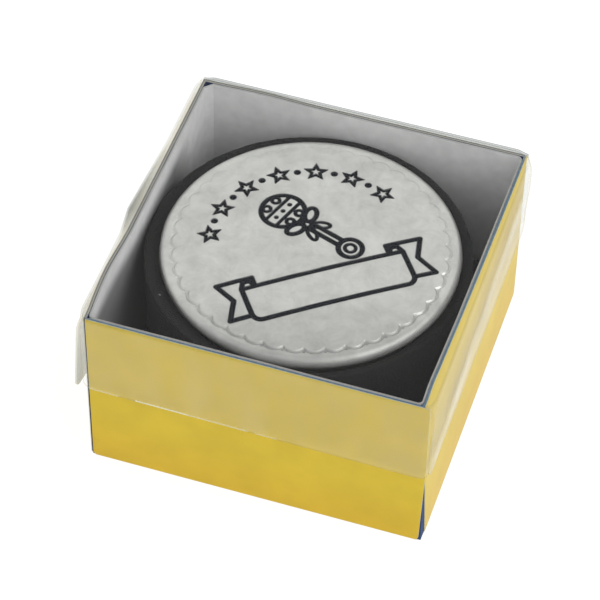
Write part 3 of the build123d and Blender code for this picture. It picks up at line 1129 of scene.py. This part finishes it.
def make_foam_collar(foam, material):
    """Round collar that holds the keepsake. Its top swells beside the lid, which presses on the rest."""
    radius, hole = collar_high.x, foam.hole_radius
    foot, top = collar_low.z, collar_high.z
    soft, bevel = foam.collar_edge, foam.hole_bevel
    pressed = top
    top += foam.swell
    swell_top = hole + 2.0 * bevel
    section = arc_profile((radius - soft, foot + soft), soft, -90, 0, 4)
    section += [(radius, level) for level in np.linspace(foot + soft, top - soft, 24)[1:-1]]
    section += arc_profile((radius - soft, top - soft), soft, 0, 90, 6)
    section += [(swell_top, top), (hole + bevel, pressed)]
    section += [(hole, level) for level in np.linspace(pressed - bevel, foot + soft, 16)]
    section += arc_profile((hole + soft, foot + soft), soft, 180, 270, 4)[1:]
    count = 260
    shell = Shell()
    rings = []
    for reach, level in section:
        points = ring_at(reach, level, count)
        # The collar was bent round the keepsake and sits a little out of the middle at its rim.
        share = smooth((reach - hole - bevel) / (radius - hole - bevel)) * (level - foot) / (top - foot)
        points[:, :2] += foam.collar_shift * share * np.array([-1.0, 1.0])
        rings.append(shell.add(points))
    for place, lower in enumerate(rings):
        shell.bridge(lower, rings[(place + 1) % len(rings)])
    rough_up(shell, 0.05 * MM, 1.2 * MM, 5)
    piece = collection_link("foam_collar_bed", shell.mesh("foam_collar_bed"), [material], 60)
    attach(piece, "tray")
    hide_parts("foam_collar")


def make_base_lining(foam):
    """Felt disc on the base's floor."""
    radius = lining_high.x
    foot, top = lining_low.z, lining_high.z
    soft = 0.25 * MM
    count = 160
    section = [(radius * share, foot) for share in np.linspace(0.05, 0.97, 18)]
    section += arc_profile((radius - soft, foot + soft), soft, -90, 0, 4)
    section += arc_profile((radius - soft, top - soft), soft, 0, 90, 4)
    section += [(radius * share, top) for share in np.linspace(0.97, 0.05, 40)]
    shell = Shell()
    rings = [shell.add(ring_at(reach, level, count)) for reach, level in section]
    shell.close(rings, foot, top)
    rough_up(shell, 0.05 * MM, 0.8 * MM, 9)
    piece = collection_link("base_lining_felt", shell.mesh("base_lining_felt"), [pressed_felt(foam)], 60)
    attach(piece, "keepsake")
    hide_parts("base_lining")


# Pewter


def make_keepsake_base(pewter, material):
    """Cast cup with a rounded foot."""
    radius = base_high.x
    foot, rim = base_low.z, base_high.z
    bore = radius - pewter.wall
    floor = foot + pewter.floor
    heel, cove, soft = pewter.foot_radius, pewter.inner_radius, pewter.rim_chamfer
    count = 240
    section = [(radius * share, foot) for share in np.linspace(0.05, 0.92, 12)]
    section += arc_profile((radius - heel, foot + heel), heel, -90, 0, 9)
    section += [(radius, level) for level in np.linspace(foot + heel, rim - soft, 22)[1:-1]]
    section += arc_profile((radius - soft, rim - soft), soft, 0, 90, 4)
    section += arc_profile((bore + soft, rim - soft), soft, 90, 180, 4)
    section += [(bore, level) for level in np.linspace(rim - soft, floor + cove, 20)[1:-1]]
    section += arc_profile((bore - cove, floor + cove), cove, 0, -90, 7)
    section += [(bore * share, floor) for share in np.linspace(0.93, 0.05, 12)]
    shell = Shell()
    rings = []
    for reach, level in section:
        points = ring_at(reach, level, count)
        # Finishing by hand leaves the walls a hair out of round.
        ripple = soft_noise(points, 5.0 * MM, 21) * pewter.unevenness
        points[:, :2] *= 1.0 - np.abs(ripple[:, None]) / max(reach, 5.0 * MM)
        rings.append(shell.add(points))
    shell.close(rings, foot, floor)
    piece = collection_link("keepsake_base_cast", shell.mesh("keepsake_base_cast"), [material], 60)
    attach(piece, "keepsake")
    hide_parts("keepsake_base")


class Stroke:
    """Line drawn with a round pen, as a chain of points."""

    def __init__(self, points, width):
        self.guides = [np.array(points, float)]
        self.half = width / 2

    def field(self, points):
        """Distance of points from the line's edge, negative inside it."""
        return chain_distance(points, self.guides[0]) - self.half

    def rows(self, levels):
        """Distances from the guide at which the field has these levels."""
        return [(self.half + level, level) for level in levels if self.half + level > 0.0]


class Patch:
    """Area between an outer outline and an inner one."""

    def __init__(self, outer, inner):
        self.guides = [np.array(outer, float), np.array(inner, float)]
        self.half = 0.0

    def field(self, points):
        outer, inner = (chain_distance(points, guide) for guide in self.guides)
        outside = np.where(enclosed(points, self.guides[0]), -outer, outer)
        hole = np.where(enclosed(points, self.guides[1]), inner, -inner)
        return np.maximum(outside, hole)

    def rows(self, levels):
        return [(abs(level), level) for level in levels]


def chain_distance(points, chain):
    """Distance of each point from a chain of straight runs."""
    if len(chain) == 1:
        return np.linalg.norm(points - chain[0], axis=1)
    nearest = np.full(len(points), np.inf)
    for start, stop in zip(chain, chain[1:]):
        run = stop - start
        share = np.clip(((points - start) @ run) / (run @ run), 0.0, 1.0)
        nearest = np.minimum(nearest, np.linalg.norm(points - start - share[:, None] * run, axis=1))
    return nearest


def enclosed(points, chain):
    """Which points lie inside a closed chain."""
    inside = np.zeros(len(points), bool)
    x, y = points[:, 0], points[:, 1]
    for (x1, y1), (x2, y2) in zip(chain, chain[1:]):
        if y1 == y2:
            continue
        crossing = (y1 > y) != (y2 > y)
        inside ^= crossing & (x < (x2 - x1) * (y - y1) / (y2 - y1) + x1)
    return inside


def placed(points, x=0.0, y=0.0, angle=0.0):
    """Points turned about the origin and then moved."""
    c, s = cos(angle), sin(angle)
    return [(x + c * px - s * py, y + s * px + c * py) for px, py in points]


def arc(centre, radius, start, stop, steps):
    """Chain along an arc, from one angle to another in radians."""
    angles = np.linspace(start, stop, steps + 1)
    return [(centre[0] + radius * cos(a), centre[1] + radius * sin(a)) for a in angles]


def oval(length, width, steps):
    """Closed oval that starts at the origin and runs along X."""
    angles = np.linspace(pi, 3.0 * pi, steps + 1)
    return [(length / 2 * (1.0 + cos(a)), width / 2 * sin(a)) for a in angles]


def star(radius, waist, points):
    """Closed outline of a star that stands on its waist."""
    outline = []
    for step in range(2 * points + 1):
        reach = radius if step % 2 == 0 else radius * waist
        angle = pi / 2 + pi / points * step
        outline.append((reach * cos(angle), reach * sin(angle)))
    return outline


def star_arc_marks(cut, lid_radius):
    """Outlined stars with a dot between neighbours, along an arc over the middle."""
    marks = []
    reach = lid_radius - cut.star_inset
    step = cut.star_spread / (2 * cut.star_count - 2)
    for place in range(2 * cut.star_count - 1):
        angle = cut.star_spread / 2 - step * place
        x, y = -reach * sin(angle), reach * cos(angle)
        if place % 2:
            marks.append(Stroke([(x, y)], 2.0 * cut.dot_radius))
            continue
        outer = star(cut.star_radius, cut.star_waist, cut.star_points)
        inner = star(cut.star_radius * cut.star_hollow, cut.star_waist, cut.star_points)
        marks.append(Patch(placed(outer, x, y, angle), placed(inner, x, y, angle)))
    return marks


def rattle_marks(cut):
    """Baby's rattle: banded head, bow, handle and end ring."""
    full = 2.0 * pi
    origin = (0.0, 0.0)
    chains = [(arc(origin, cut.head_radius, 0.0, full, 60), cut.bold)]
    chord = sqrt(cut.head_radius**2 - cut.band_half**2)
    for side in (-1, 1):
        strap = side * cut.band_half
        chains.append(([(strap, -chord), (strap, chord)], cut.fine))
        for across in (-1, 1):
            bead = (side * cut.bead_spacing, across * cut.bead_spacing / 2)
            chains.append((arc(bead, cut.bead_radius, 0.0, full, 24), cut.fine))
    for across in (-1, 0, 1):
        chains.append(([(0.0, across * cut.bead_spacing * 3 / 4)], cut.bead_radius))
    chains.append((arc((cut.bow_distance, 0.0), cut.knot_radius, 0.0, full, 24), cut.fine))
    for side in (-1, 1):
        loop = placed(oval(cut.loop_length, cut.loop_width, 40), cut.knot_radius)
        tail = placed(oval(cut.loop_length, cut.tail_width, 40), cut.knot_radius)
        chains.append((placed(loop, cut.bow_distance, 0.0, side * (pi - cut.loop_turn)), cut.bold))
        chains.append((placed(tail, cut.bow_distance, 0.0, side * cut.tail_turn), cut.fine))
        handle_end = cut.rattle_length - sqrt(cut.ring_radius**2 - cut.handle_half**2)
        level = side * cut.handle_half
        chains.append(([(cut.bow_distance + cut.knot_radius, level), (handle_end, level)], cut.bold))
    end = (cut.rattle_length, 0.0)
    chains.append((arc(end, cut.ring_radius, 0.0, full, 40), cut.bold))
    chains.append((arc(end, cut.ring_hole, 0.0, full, 24), cut.fine))
    place = (cut.rattle_x, cut.rattle_y, cut.rattle_lean)
    return [Stroke(placed(chain, *place), width) for chain, width in chains]


def banner_marks(cut):
    """Blank ribbon banner with folded tails."""
    end, top, foot = cut.banner_length / 2, cut.banner_width / 2, cut.banner_foot
    tail_top = cut.ribbon_width / 2 + cut.ribbon_lift - (cut.ribbon_width - cut.banner_width) / 2
    tail_foot = tail_top - cut.ribbon_width
    tip, notch = end + cut.ribbon_reach, end + cut.ribbon_reach - cut.ribbon_notch
    fold_x, fold_top = end - cut.ribbon_tuck, top + cut.fold_lift
    lean = cut.ribbon_tuck / 4
    corner = arc((end - foot, foot - top), foot, 0.0, -pi / 2, 10)
    half = [
        [(0.0, top), (end, top), (end, foot - top), *corner[1:], (0.0, -top)],
        [(end, tail_foot), (tip, tail_foot), (notch, (tail_top + tail_foot) / 2)]
        + [(tip, tail_top), (fold_x, tail_top), (fold_x, top)],
        [(end, top), (end - lean, fold_top), (fold_x + lean, fold_top), (fold_x, top)],
    ]
    marks = []
    for side in (-1, 1):
        for chain in half:
            flipped = [(side * x, y - cut.banner_drop) for x, y in chain]
            marks.append(Stroke(flipped, cut.bold))
    return marks


def scallop_marks(cut, lid_radius):
    """Chain of arcs that swell outwards between cusps."""
    cusp = lid_radius - cut.scallop_inset
    step = 2.0 * pi / cut.scallop_count
    # Circle through two cusps and the top of the swell between them.
    half_chord = cusp * sin(step / 2)
    rise = cusp + cut.scallop_swell - cusp * cos(step / 2)
    radius = (half_chord**2 + rise**2) / (2.0 * rise)
    centre = cusp + cut.scallop_swell - radius
    reach = asin(half_chord / radius)
    bow = arc((centre, 0.0), radius, -reach, reach, 14)
    tooth = [(cusp, 0.0), (cusp + cut.tooth, 0.0)]
    marks = []
    for place in range(cut.scallop_count):
        marks.append(Stroke(placed(bow, angle=step * (place + 0.5)), cut.fine))
        marks.append(Stroke(placed(tooth, angle=step * place), cut.fine))
    return marks


def marks_field(points, marks, reach):
    """Signed distance of points from the nearest mark's edge, up to reach."""
    nearest = np.full(len(points), reach)
    for mark in marks:
        low = np.min([guide.min(0) for guide in mark.guides], 0) - mark.half - reach
        high = np.max([guide.max(0) for guide in mark.guides], 0) + mark.half + reach
        near = np.flatnonzero(((points > low) & (points < high)).all(1))
        if len(near):
            nearest[near] = np.minimum(nearest[near], mark.field(points[near]))
    return nearest


def guide_rows(mark, levels, spacing):
    """Points along both sides of a mark's guides at the distances where its field has the levels."""
    found = []
    for offset, level in mark.rows(levels):
        for guide in mark.guides:
            corners = guide if offset else []
            for start, stop in zip(guide, guide[1:]):
                run = stop - start
                length = hypot(*run)
                steps = max(1, round(length / spacing))
                shares = (np.arange(steps) + 0.5) / steps
                across = np.array([-run[1], run[0]]) / length * offset
                for side in (-1, 1) if offset else (1,):
                    found += [(*(start + run * share + side * across), level) for share in shares]
            for corner in corners:
                steps = max(8, round(2.0 * pi * offset / spacing))
                angles = np.arange(steps) * 2.0 * pi / steps
                found += [(corner[0] + offset * cos(a), corner[1] + offset * sin(a), level) for a in angles]
        if mark.half and len(mark.guides[0]) == 1 and not offset:
            found.append((*mark.guides[0][0], level))
    return found


def thinned(points, spacing):
    """Leaves out points that fall into the same small cell as an earlier one."""
    cells = np.floor(points / spacing).astype(int)
    first = np.unique(cells, axis=0, return_index=True)[1]
    return points[np.sort(first)]


def engraved_points(marks, radius):
    """Points of the lid's top, dense along the marks and open between them."""
    # Rows lie on the groove's floor, its wall and its shoulders, and where the blackening ends.
    levels = [-0.12 * MM, -0.03 * MM, 0.06 * MM, 0.13 * MM, 0.22 * MM]
    spacing = 0.13 * MM
    reach = 0.6 * MM
    tolerance = 0.012 * MM
    closest = 0.07 * MM
    candidates = []
    for mark in marks:
        candidates += guide_rows(mark, levels + [-mark.half] * (mark.half > 0.0), spacing)
    candidates = np.array(candidates)
    field = marks_field(candidates[:, :2], marks, reach)
    rows = candidates[np.abs(field - candidates[:, 2]) < tolerance, :2]
    rows = thinned(rows, closest)
    # An open grid fills the rest, clear of the marks and of the rim.
    step, from_marks, from_rim = 0.33 * MM, 0.36 * MM, 0.45 * MM
    grid = []
    for row, y in enumerate(np.arange(-radius, radius, step * sqrt(3.0) / 2)):
        for x in np.arange(-radius, radius, step):
            grid.append((x + step / 2 * (row % 2), y))
    grid = np.array(grid)
    clear = marks_field(grid, marks, reach) > from_marks
    inside = np.linalg.norm(grid, axis=1) < radius - from_rim
    return np.concatenate([rows, grid[clear & inside]])


def dome_level(reach, pewter):
    """Level of the lid's top over a distance from its middle."""
    shoulder = lid_high.x - pewter.edge / 2
    ball = (shoulder**2 + pewter.dome_rise**2) / (2.0 * pewter.dome_rise)
    return lid_high.z - ball + np.sqrt(ball**2 - np.minimum(reach, shoulder) ** 2)


def lid_section(pewter, shoulder):
    """Points (radius, level) down the lid's edge, round its locating ring and in along its ceiling."""
    edge = pewter.edge / 2
    section = arc_profile((shoulder, lid_high.z - pewter.dome_rise - edge), edge, 90, -90, 17)[1:]
    seat = section[-1][1]
    soft = 0.15 * MM
    outer, hollow = pewter.ring_radius, pewter.ring_radius - pewter.ring_wall
    foot = seat - pewter.ring_depth
    ceiling = lid_high.z - pewter.plate
    section += [(reach, seat) for reach in np.linspace(shoulder, outer, 6)[1:]]
    section += [(outer, seat - soft), (outer, foot + soft)]
    section += arc_profile((outer - soft, foot + soft), soft, 0, -90, 4)[1:]
    section += arc_profile((hollow + soft, foot + soft), soft, -90, -180, 4)
    section += [(hollow, ceiling - soft)]
    section += arc_profile((hollow - soft, ceiling - soft), soft, 0, 90, 4)[1:]
    section += [(hollow * share, ceiling) for share in (0.95, 0.8, 0.6, 0.4, 0.2, 0.05)]
    return section


def make_keepsake_lid(pewter, cut, material):
    """Domed lid with its engraving cut into the mesh, a round edge and a locating ring below."""
    radius = lid_high.x
    shoulder = radius - pewter.edge / 2
    count = 480
    deep = star_arc_marks(cut, radius) + rattle_marks(cut) + banner_marks(cut)
    fine = scallop_marks(cut, radius)
    for mark in deep + fine:
        mark.guides = [np.array(placed(guide, angle=cut.lean)) for guide in mark.guides]
    inner = engraved_points(deep + fine, shoulder)
    rims = [ring_at(reach, 0.0, count)[:, :2] for reach in (shoulder - 0.25 * MM, shoulder)]
    flat = np.concatenate([inner, *rims])
    # The triangulation works in millimetres, where its tolerance is fine enough to merge no points.
    made = delaunay_2d_cdt([Vector(point) / MM for point in flat], [], [], 0, 1e-6)
    if len(made[0]) != len(flat):
        raise RuntimeError("The lid's points were merged")
    flat = np.array([tuple(point) for point in made[0]]) * MM
    reach = np.linalg.norm(flat, axis=1)
    span = 0.6 * MM
    deep_field = marks_field(flat, deep, span)
    fine_field = marks_field(flat, fine, span)

    def sunk(field):
        """How much of the full depth a groove has: steep walls with a rounded shoulder."""
        wall_foot, wall_top, shoulder_top = -0.12 * MM, 0.05 * MM, 0.22 * MM
        wall = smooth((wall_top - field) / (wall_top - wall_foot))
        shoulder_dip = smooth((shoulder_top - field) / shoulder_top)
        return 0.88 * wall + 0.12 * shoulder_dip

    plane = np.column_stack([flat, 0.0 * reach])
    hills = soft_noise(plane, 4.5 * MM, 31) + 0.4 * soft_noise(plane, 1.6 * MM, 37)
    even_rim = 1.5 * MM
    calm = smooth((shoulder - reach) / even_rim)
    # The border was cast and rubbed unevenly: sharp at the front, and nearly gone at the back left.
    angle = np.arctan2(flat[:, 1], flat[:, 0])
    kept = cut.border_faint + (1.0 - cut.border_faint) * (0.5 + 0.5 * np.cos(angle - cut.border_clear))
    level = dome_level(reach, pewter) - pewter.unevenness * calm * (0.5 - 0.5 * hills)
    level -= cut.groove_depth * sunk(deep_field) + cut.border_depth * kept * sunk(fine_field)
    # The edge of the blackening wanders a little where the metal was wiped.
    worn = soft_noise(plane, 2.5 * MM, 41)
    wander = 0.03 * MM * worn
    black_reach, black_fade = 0.13 * MM, 0.1 * MM
    deep_black = smooth((black_reach - (deep_field + wander)) / black_fade)
    halo = 0.1 * smooth((0.35 * MM - deep_field) / (0.3 * MM)) * (1.0 + worn)
    fine_black = smooth((0.02 * MM - fine_field) / (0.12 * MM)) * 0.2 * kept

    def front_shade(points):
        """Painted shade, laid on through the blackening share, which darkens the front of the lid."""
        frontward = points @ np.array([cos(cut.border_clear), sin(cut.border_clear)])
        return cut.front_shade * smooth((frontward - 6.0 * MM) / (12.0 * MM))

    black = np.maximum(deep_black, fine_black) + halo + front_shade(flat) * (1.0 + 0.3 * worn)
    black = np.clip(black, 0.0, 1.0)

    shell = Shell()
    top = shell.add(np.column_stack([flat, level]))
    for corners in made[2]:
        shell.face(corners)
    upper = top[-count:]
    section = lid_section(pewter, shoulder)
    for out, height in section:
        points = ring_at(out, height, count)
        if out > pewter.ring_radius:
            # Handling has left shallow dents in the edge.
            dents = soft_noise(points, 3.0 * MM, 51) * 0.035 * MM
            points[:, :2] *= 1.0 - np.abs(dents[:, None]) / out
        lower = shell.add(points)
        shell.bridge(lower, upper)
        upper = lower
    shell.cap(upper, (0.0, 0.0, section[-1][1]), flip=True)
    mesh = shell.mesh("keepsake_lid_engraved")
    # The front of the edge takes the painted shade too, which dims its highlight there.
    edge_points = np.array(shell.points)[len(black) :, :2]
    shades = np.concatenate([black, 1.3 * front_shade(edge_points)]).astype(np.float32)
    mesh.attributes.new("blackening", "FLOAT", "POINT").data.foreach_set("value", shades)
    piece = collection_link("keepsake_lid_engraved", mesh, [material], 80)
    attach(piece, "keepsake_lid")
    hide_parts("keepsake_lid")


# Film cover


def film_ends(film, drop):
    """How far each flap's two ends stop short of the corner: a small gap, and rounded lower corners."""

    def ends(side, depth):
        into = max(0.0, depth - (drop - film.corner_radius))
        into = min(into, film.corner_radius)
        rounding = film.corner_radius - sqrt(film.corner_radius**2 - into**2)
        gap = film.corner_gap + (film.thickness if side % 2 else 0.0)
        return gap + rounding, gap + rounding

    return ends


def film_shares(film, sheet, half, knocked, flared):
    """Haze of the film at each point, painted shade in its bends, and how much its cut edge glints there."""
    side, along, depth = sheet.side, sheet.along, sheet.depth
    hazes = [film.haze_top, film.haze_front, film.haze_right, film.haze_back, film.haze_left]
    haze = np.array(hazes)[side + 1]
    fold_zone = 0.8 * MM
    haze *= np.where(side == -1, 1.0, smooth(depth / fold_zone))
    # The right flap is still clear along its fold. Below that the haze sets in, in patches, and from
    # 1.5 mm on it thins again.
    right = side == 1
    towards_front = np.clip((half - along[right]) / (2.0 * half), 0.0, 1.0)
    clear_depth = film.clear_back + (film.clear_front - film.clear_back) * towards_front**1.2
    patches = soft_noise(sheet.points[right], 3.0 * MM, 61)
    below = depth[right] - clear_depth + 0.4 * MM * patches
    onset = smooth((below + 0.6 * MM) / (2.4 * MM))
    thinning = 1.0 - 0.6 * smooth((below - 1.5 * MM) / (4.0 * MM))
    haze[right] *= onset * thinning * (1.0 + 0.4 * patches)
    # A crease runs where the clear part ends, on the front two thirds of the flap, as painted shade only.
    crease_place, crease_half = 0.2 * MM, 0.7 * MM
    creased = bump((below - crease_place) / crease_half) * smooth((towards_front - 0.35) / 0.2)

    # Painted shade greys the film in its folds, most in the back one, and where it was knocked or stands off.
    folded = (side >= 0) & (depth <= 1.01 * film.fold_radius)
    bend = np.where(folded, 0.15, 0.0)
    bend[folded & (side == 2)] = 1.0
    bend = np.clip(np.maximum(bend, 0.5 * knocked) + 0.65 * flared, 0.0, 1.0)
    bend[right] = np.maximum(bend[right], 0.3 * creased)

    # How brightly a cut edge glints, for the panel and then for the four flaps.
    glint = np.array([0.1, 0.05, 0.15, 0.1, 0.3])[side + 1]
    # Stretches of the front flap's cut edge, in millimetres from its middle, and how brightly they glint.
    stretches = ((-22.0, -17.9, 0.5), (-15.9, -8.7, 1.0), (-8.7, -0.9, 0.6), (0.1, 2.9, 0.4))
    for start, stop, strength in stretches:
        lit = (side == 0) & (along > start * MM) & (along < stop * MM)
        glint[lit] = strength
    return {"haze": haze, "bend": bend, "glint": glint}


def make_clear_lid(film):
    """Film cover: a square top with four separate flaps, knocked about a little."""
    half = film_high.x
    drop = film_high.z - film_low.z
    round_rows = drop - film.corner_radius * (1.0 - np.sin(np.linspace(0.0, pi / 2, 9)))
    depths = [*np.linspace(film.fold_radius, drop - film.corner_radius, 20)[1:-1], *round_rows]
    sheet = FoldedSheet(half, film.fold_radius, depths, film_ends(film, drop), 120)
    side, along, depth = sheet.side, sheet.along, sheet.depth
    knocked = np.zeros(len(side))
    flared = np.zeros(len(side))

    # The front flap was cut a little out of square, so it is shorter at its left end.
    front = side == 0
    short = film.short_side * np.clip((half - along[front]) / (2.0 * half), 0.0, 1.0)
    sheet.points[front, 2] *= 1.0 - short / drop

    # A knock has pushed the left fold out, sharply on its front side and gently towards the back.
    peak, gentle, steep = -2.9 * MM, 12.7 * MM, 4.9 * MM
    sag = 0.35 * film.bulge
    at_fold = 0.85

    def knock(y):
        rise = np.clip(1.0 - (y - peak) / gentle, 0.0, 1.0)
        fall = np.clip(1.0 - (peak - y) / steep, 0.0, 1.0)
        return np.where(y > peak, rise**0.9, fall)

    left = side == 3
    y = -along[left]
    # The knock is strongest just below the fold, and fades down the flap.
    fade = at_fold + (1.0 - at_fold) * smooth(depth[left] / (1.2 * MM))
    fade *= 1.0 - 0.9 * smooth((depth[left] - 1.5 * MM) / (9.0 * MM))
    # The flap's front end stands off, most at its lower corner.
    flare_zone = 9.0 * MM
    flare_share = smooth((-y - half + flare_zone) / flare_zone) * (depth[left] / drop) ** 0.8
    sheet.push(left, film.loose_left + film.bulge * knock(y) * fade + film.flare * flare_share)
    sheet.points[left, 1] -= 0.3 * MM * flare_share
    sheet.points[left, 2] -= sag * knock(y) * (1.0 - smooth(depth[left] / (3.0 * MM)))
    knocked[left] = knock(y) * (1.0 - smooth(depth[left] / (7.0 * MM)))
    flared[left] = flare_share
    # The panel follows its folds within a narrow zone along them.
    panel = side == -1
    zone = 3.5 * MM
    x, y = sheet.points[panel, 0].copy(), sheet.points[panel, 1].copy()
    near_left = smooth((-x - half + zone) / zone)
    sheet.points[panel, 0] -= (film.loose_left + at_fold * film.bulge * knock(y)) * near_left
    sheet.points[panel, 1] += film.loose_back * smooth((y - half + zone) / zone)
    sheet.points[panel, 2] -= sag * knock(y) * near_left**2
    knocked[panel] = knock(y) * near_left**3

    # The right flap bows out over the leaning wall, most towards the back. The others bow very little.
    right = side == 1
    belly = bump((depth[right] - 4.5 * MM) / (6.5 * MM))
    towards_back = 0.75 + 0.25 * along[right] / half
    sheet.push(right, film.right_bow * belly * towards_back)
    back = side == 2
    sheet.push(back, film.loose_back + 0.1 * MM * bump((depth[back] - 6.0 * MM) / (8.0 * MM)))
    sheet.push(front, 0.08 * MM * bump((depth[front] - 7.0 * MM) / (7.0 * MM)))

    # Each corner of the fold is pinched in a little.
    pinch_reach, pinch_depth = 2.2 * MM, 2.5 * MM
    for x_side in (-1, 1):
        for y_side in (-1, 1):
            away = np.hypot(sheet.points[:, 0] - x_side * half, sheet.points[:, 1] - y_side * half)
            near = (1.0 - smooth(away / pinch_reach)) * (1.0 - smooth(depth / pinch_depth))
            sheet.points[:, 0] -= x_side * film.pinch * near
            sheet.points[:, 1] -= y_side * film.pinch * near
            sheet.points[:, 2] -= 0.3 * film.pinch * near

    sheet.points[:, 2] += film_high.z
    sheet.shares = film_shares(film, sheet, half, knocked, flared)
    clear = clear_film(film)
    materials = [clear, clear, film_cut_edge(film)]
    piece = sheet.thicken("clear_lid_film", film.thickness, 0.04 * MM, materials, False)
    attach(piece, "clear_lid")
    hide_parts("clear_lid")


# Studio


def make_floor(studio):
    """Wide round light table that curves up at its edge."""
    shell = Shell()
    count = 96
    reach, lift = 1.6, 0.5
    section = [(reach * share, 0.0) for share in (0.02, 0.1, 0.3, 0.6, 0.85)]
    section += arc_profile((reach, lift), lift, -90, -20, 8)
    rings = [shell.add(ring_at(out, level, count)) for out, level in section]
    for inner, outer in zip(rings, rings[1:]):
        shell.bridge(outer, inner)
    shell.cap(rings[0], (0.0, 0.0, 0.0))
    floor = collection_link("studio_floor", shell.mesh("studio_floor"), [lit_opal_acrylic(studio)], 60)


def make_light(name, place, aim, width, watts):
    """Square soft light that faces its aim."""
    data = bpy.data.lights.new(name, "AREA")
    data.shape = "SQUARE"
    data.size = width
    data.energy = watts
    light = bpy.data.objects.new(name, data)
    light.location = place
    light.rotation_euler = (Vector(aim) - Vector(place)).to_track_quat("-Z", "Y").to_euler()
    bpy.context.scene.collection.objects.link(light)


def polar(azimuth, elevation, distance):
    """Place at a distance from the origin. Azimuth 0 is the front, and 90 the right."""
    turned, raised = radians(azimuth), radians(elevation)
    return Vector((sin(turned) * cos(raised), -cos(turned) * cos(raised), sin(raised))) * distance


def make_camera(studio):
    """Camera at the photograph's angle."""
    a, e, r = studio.azimuth, studio.elevation, studio.roll
    back = Vector((sin(a) * cos(e), -cos(a) * cos(e), sin(e)))
    level = Vector((cos(a), sin(a), 0.0))
    upward = back.cross(level)
    right = level * cos(r) + upward * sin(r)
    up = upward * cos(r) - level * sin(r)
    place = back * studio.distance + right * studio.aim_right + up * studio.aim_up
    data = bpy.data.cameras.new("photo_camera")
    data.sensor_width = 36.0
    data.lens = studio.focal_pixels / studio.image_pixels * data.sensor_width
    data.clip_start = 0.01
    data.clip_end = 20.0
    camera = bpy.data.objects.new("photo_camera", data)
    camera.matrix_world = Matrix.Translation(place) @ Matrix((right, up, back)).transposed().to_4x4()
    bpy.context.scene.collection.objects.link(camera)
    bpy.context.scene.camera = camera


def make_world(studio):
    """Even grey room."""
    world = bpy.data.worlds.new("plain_room")
    world.use_nodes = True
    tree = world.node_tree
    tree.nodes.clear()
    room = add(tree, "ShaderNodeBackground", {"Color": (1.0, 1.0, 1.0, 1.0), "Strength": studio.world})
    add(tree, "ShaderNodeOutputWorld", {"Surface": room.outputs[0]})
    bpy.context.scene.world = world


# Operators and panel


class MakeStage(bpy.types.Operator):
    """Build the camera, the light, the room and the floor"""

    bl_idname = "toothbox.make_stage"
    bl_label = "Stage"

    def execute(self, context):
        studio = context.scene.toothbox_studio
        context.scene.view_settings.view_transform = "Standard"
        make_world(studio)
        make_floor(studio)
        make_camera(studio)
        key_place = polar(azimuth=72, elevation=38, distance=0.6)
        tray_middle = (0.0, 0.0, 0.01)
        make_light("key_light", key_place, tray_middle, width=0.5, watts=studio.key)
        return {"FINISHED"}


class MakeCardTray(bpy.types.Operator):
    """Build the folded card tray and its grey collar"""

    bl_idname = "toothbox.make_card"
    bl_label = "Card tray"

    def execute(self, context):
        make_card_tray(context.scene.toothbox_card)
        make_tray_liner(context.scene.toothbox_card)
        return {"FINISHED"}


class MakeFoamBed(bpy.types.Operator):
    """Build the foam pad and the foam collar"""

    bl_idname = "toothbox.make_foam"
    bl_label = "Foam bed"

    def execute(self, context):
        foam = context.scene.toothbox_foam
        material = closed_cell_foam(foam)
        make_foam_pad(foam, material)
        make_foam_collar(foam, material)
        return {"FINISHED"}


class MakeKeepsake(bpy.types.Operator):
    """Build the pewter base with its felt, and the engraved lid"""

    bl_idname = "toothbox.make_keepsake"
    bl_label = "Pewter box"

    def execute(self, context):
        scene = context.scene
        material = cast_pewter(scene.toothbox_pewter)
        make_keepsake_base(scene.toothbox_pewter, material)
        make_base_lining(scene.toothbox_foam)
        make_keepsake_lid(scene.toothbox_pewter, scene.toothbox_engraving, material)
        return {"FINISHED"}


class MakeFilmCover(bpy.types.Operator):
    """Build the clear film cover"""

    bl_idname = "toothbox.make_film"
    bl_label = "Film cover"

    def execute(self, context):
        make_clear_lid(context.scene.toothbox_film)
        return {"FINISHED"}


class ToothBoxPanel(bpy.types.Panel):
    """Lists the pieces that can be built"""

    bl_idname = "VIEW3D_PT_toothbox"
    bl_label = "Tooth box"
    bl_space_type = "VIEW_3D"
    bl_region_type = "UI"
    bl_category = "Tooth box"

    def draw(self, context):
        for maker in makers:
            self.layout.operator(maker.bl_idname)


makers = (MakeStage, MakeCardTray, MakeFoamBed, MakeKeepsake, MakeFilmCover)
settings = {
    "toothbox_card": CardSettings,
    "toothbox_film": FilmSettings,
    "toothbox_foam": FoamSettings,
    "toothbox_pewter": PewterSettings,
    "toothbox_engraving": EngravingSettings,
    "toothbox_studio": StudioSettings,
}


def register():
    for name, group in settings.items():
        bpy.utils.register_class(group)
        setattr(bpy.types.Scene, name, PointerProperty(type=group))
    for maker in makers:
        bpy.utils.register_class(maker)
    bpy.utils.register_class(ToothBoxPanel)


def unregister():
    bpy.utils.unregister_class(ToothBoxPanel)
    for maker in reversed(makers):
        bpy.utils.unregister_class(maker)
    for name, group in reversed(settings.items()):
        delattr(bpy.types.Scene, name)
        bpy.utils.unregister_class(group)


def main():
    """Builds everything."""
    register()
    bpy.ops.toothbox.make_stage()
    bpy.ops.toothbox.make_card()
    bpy.ops.toothbox.make_foam()
    bpy.ops.toothbox.make_keepsake()
    bpy.ops.toothbox.make_film()


if __name__ == "__main__":
    main()
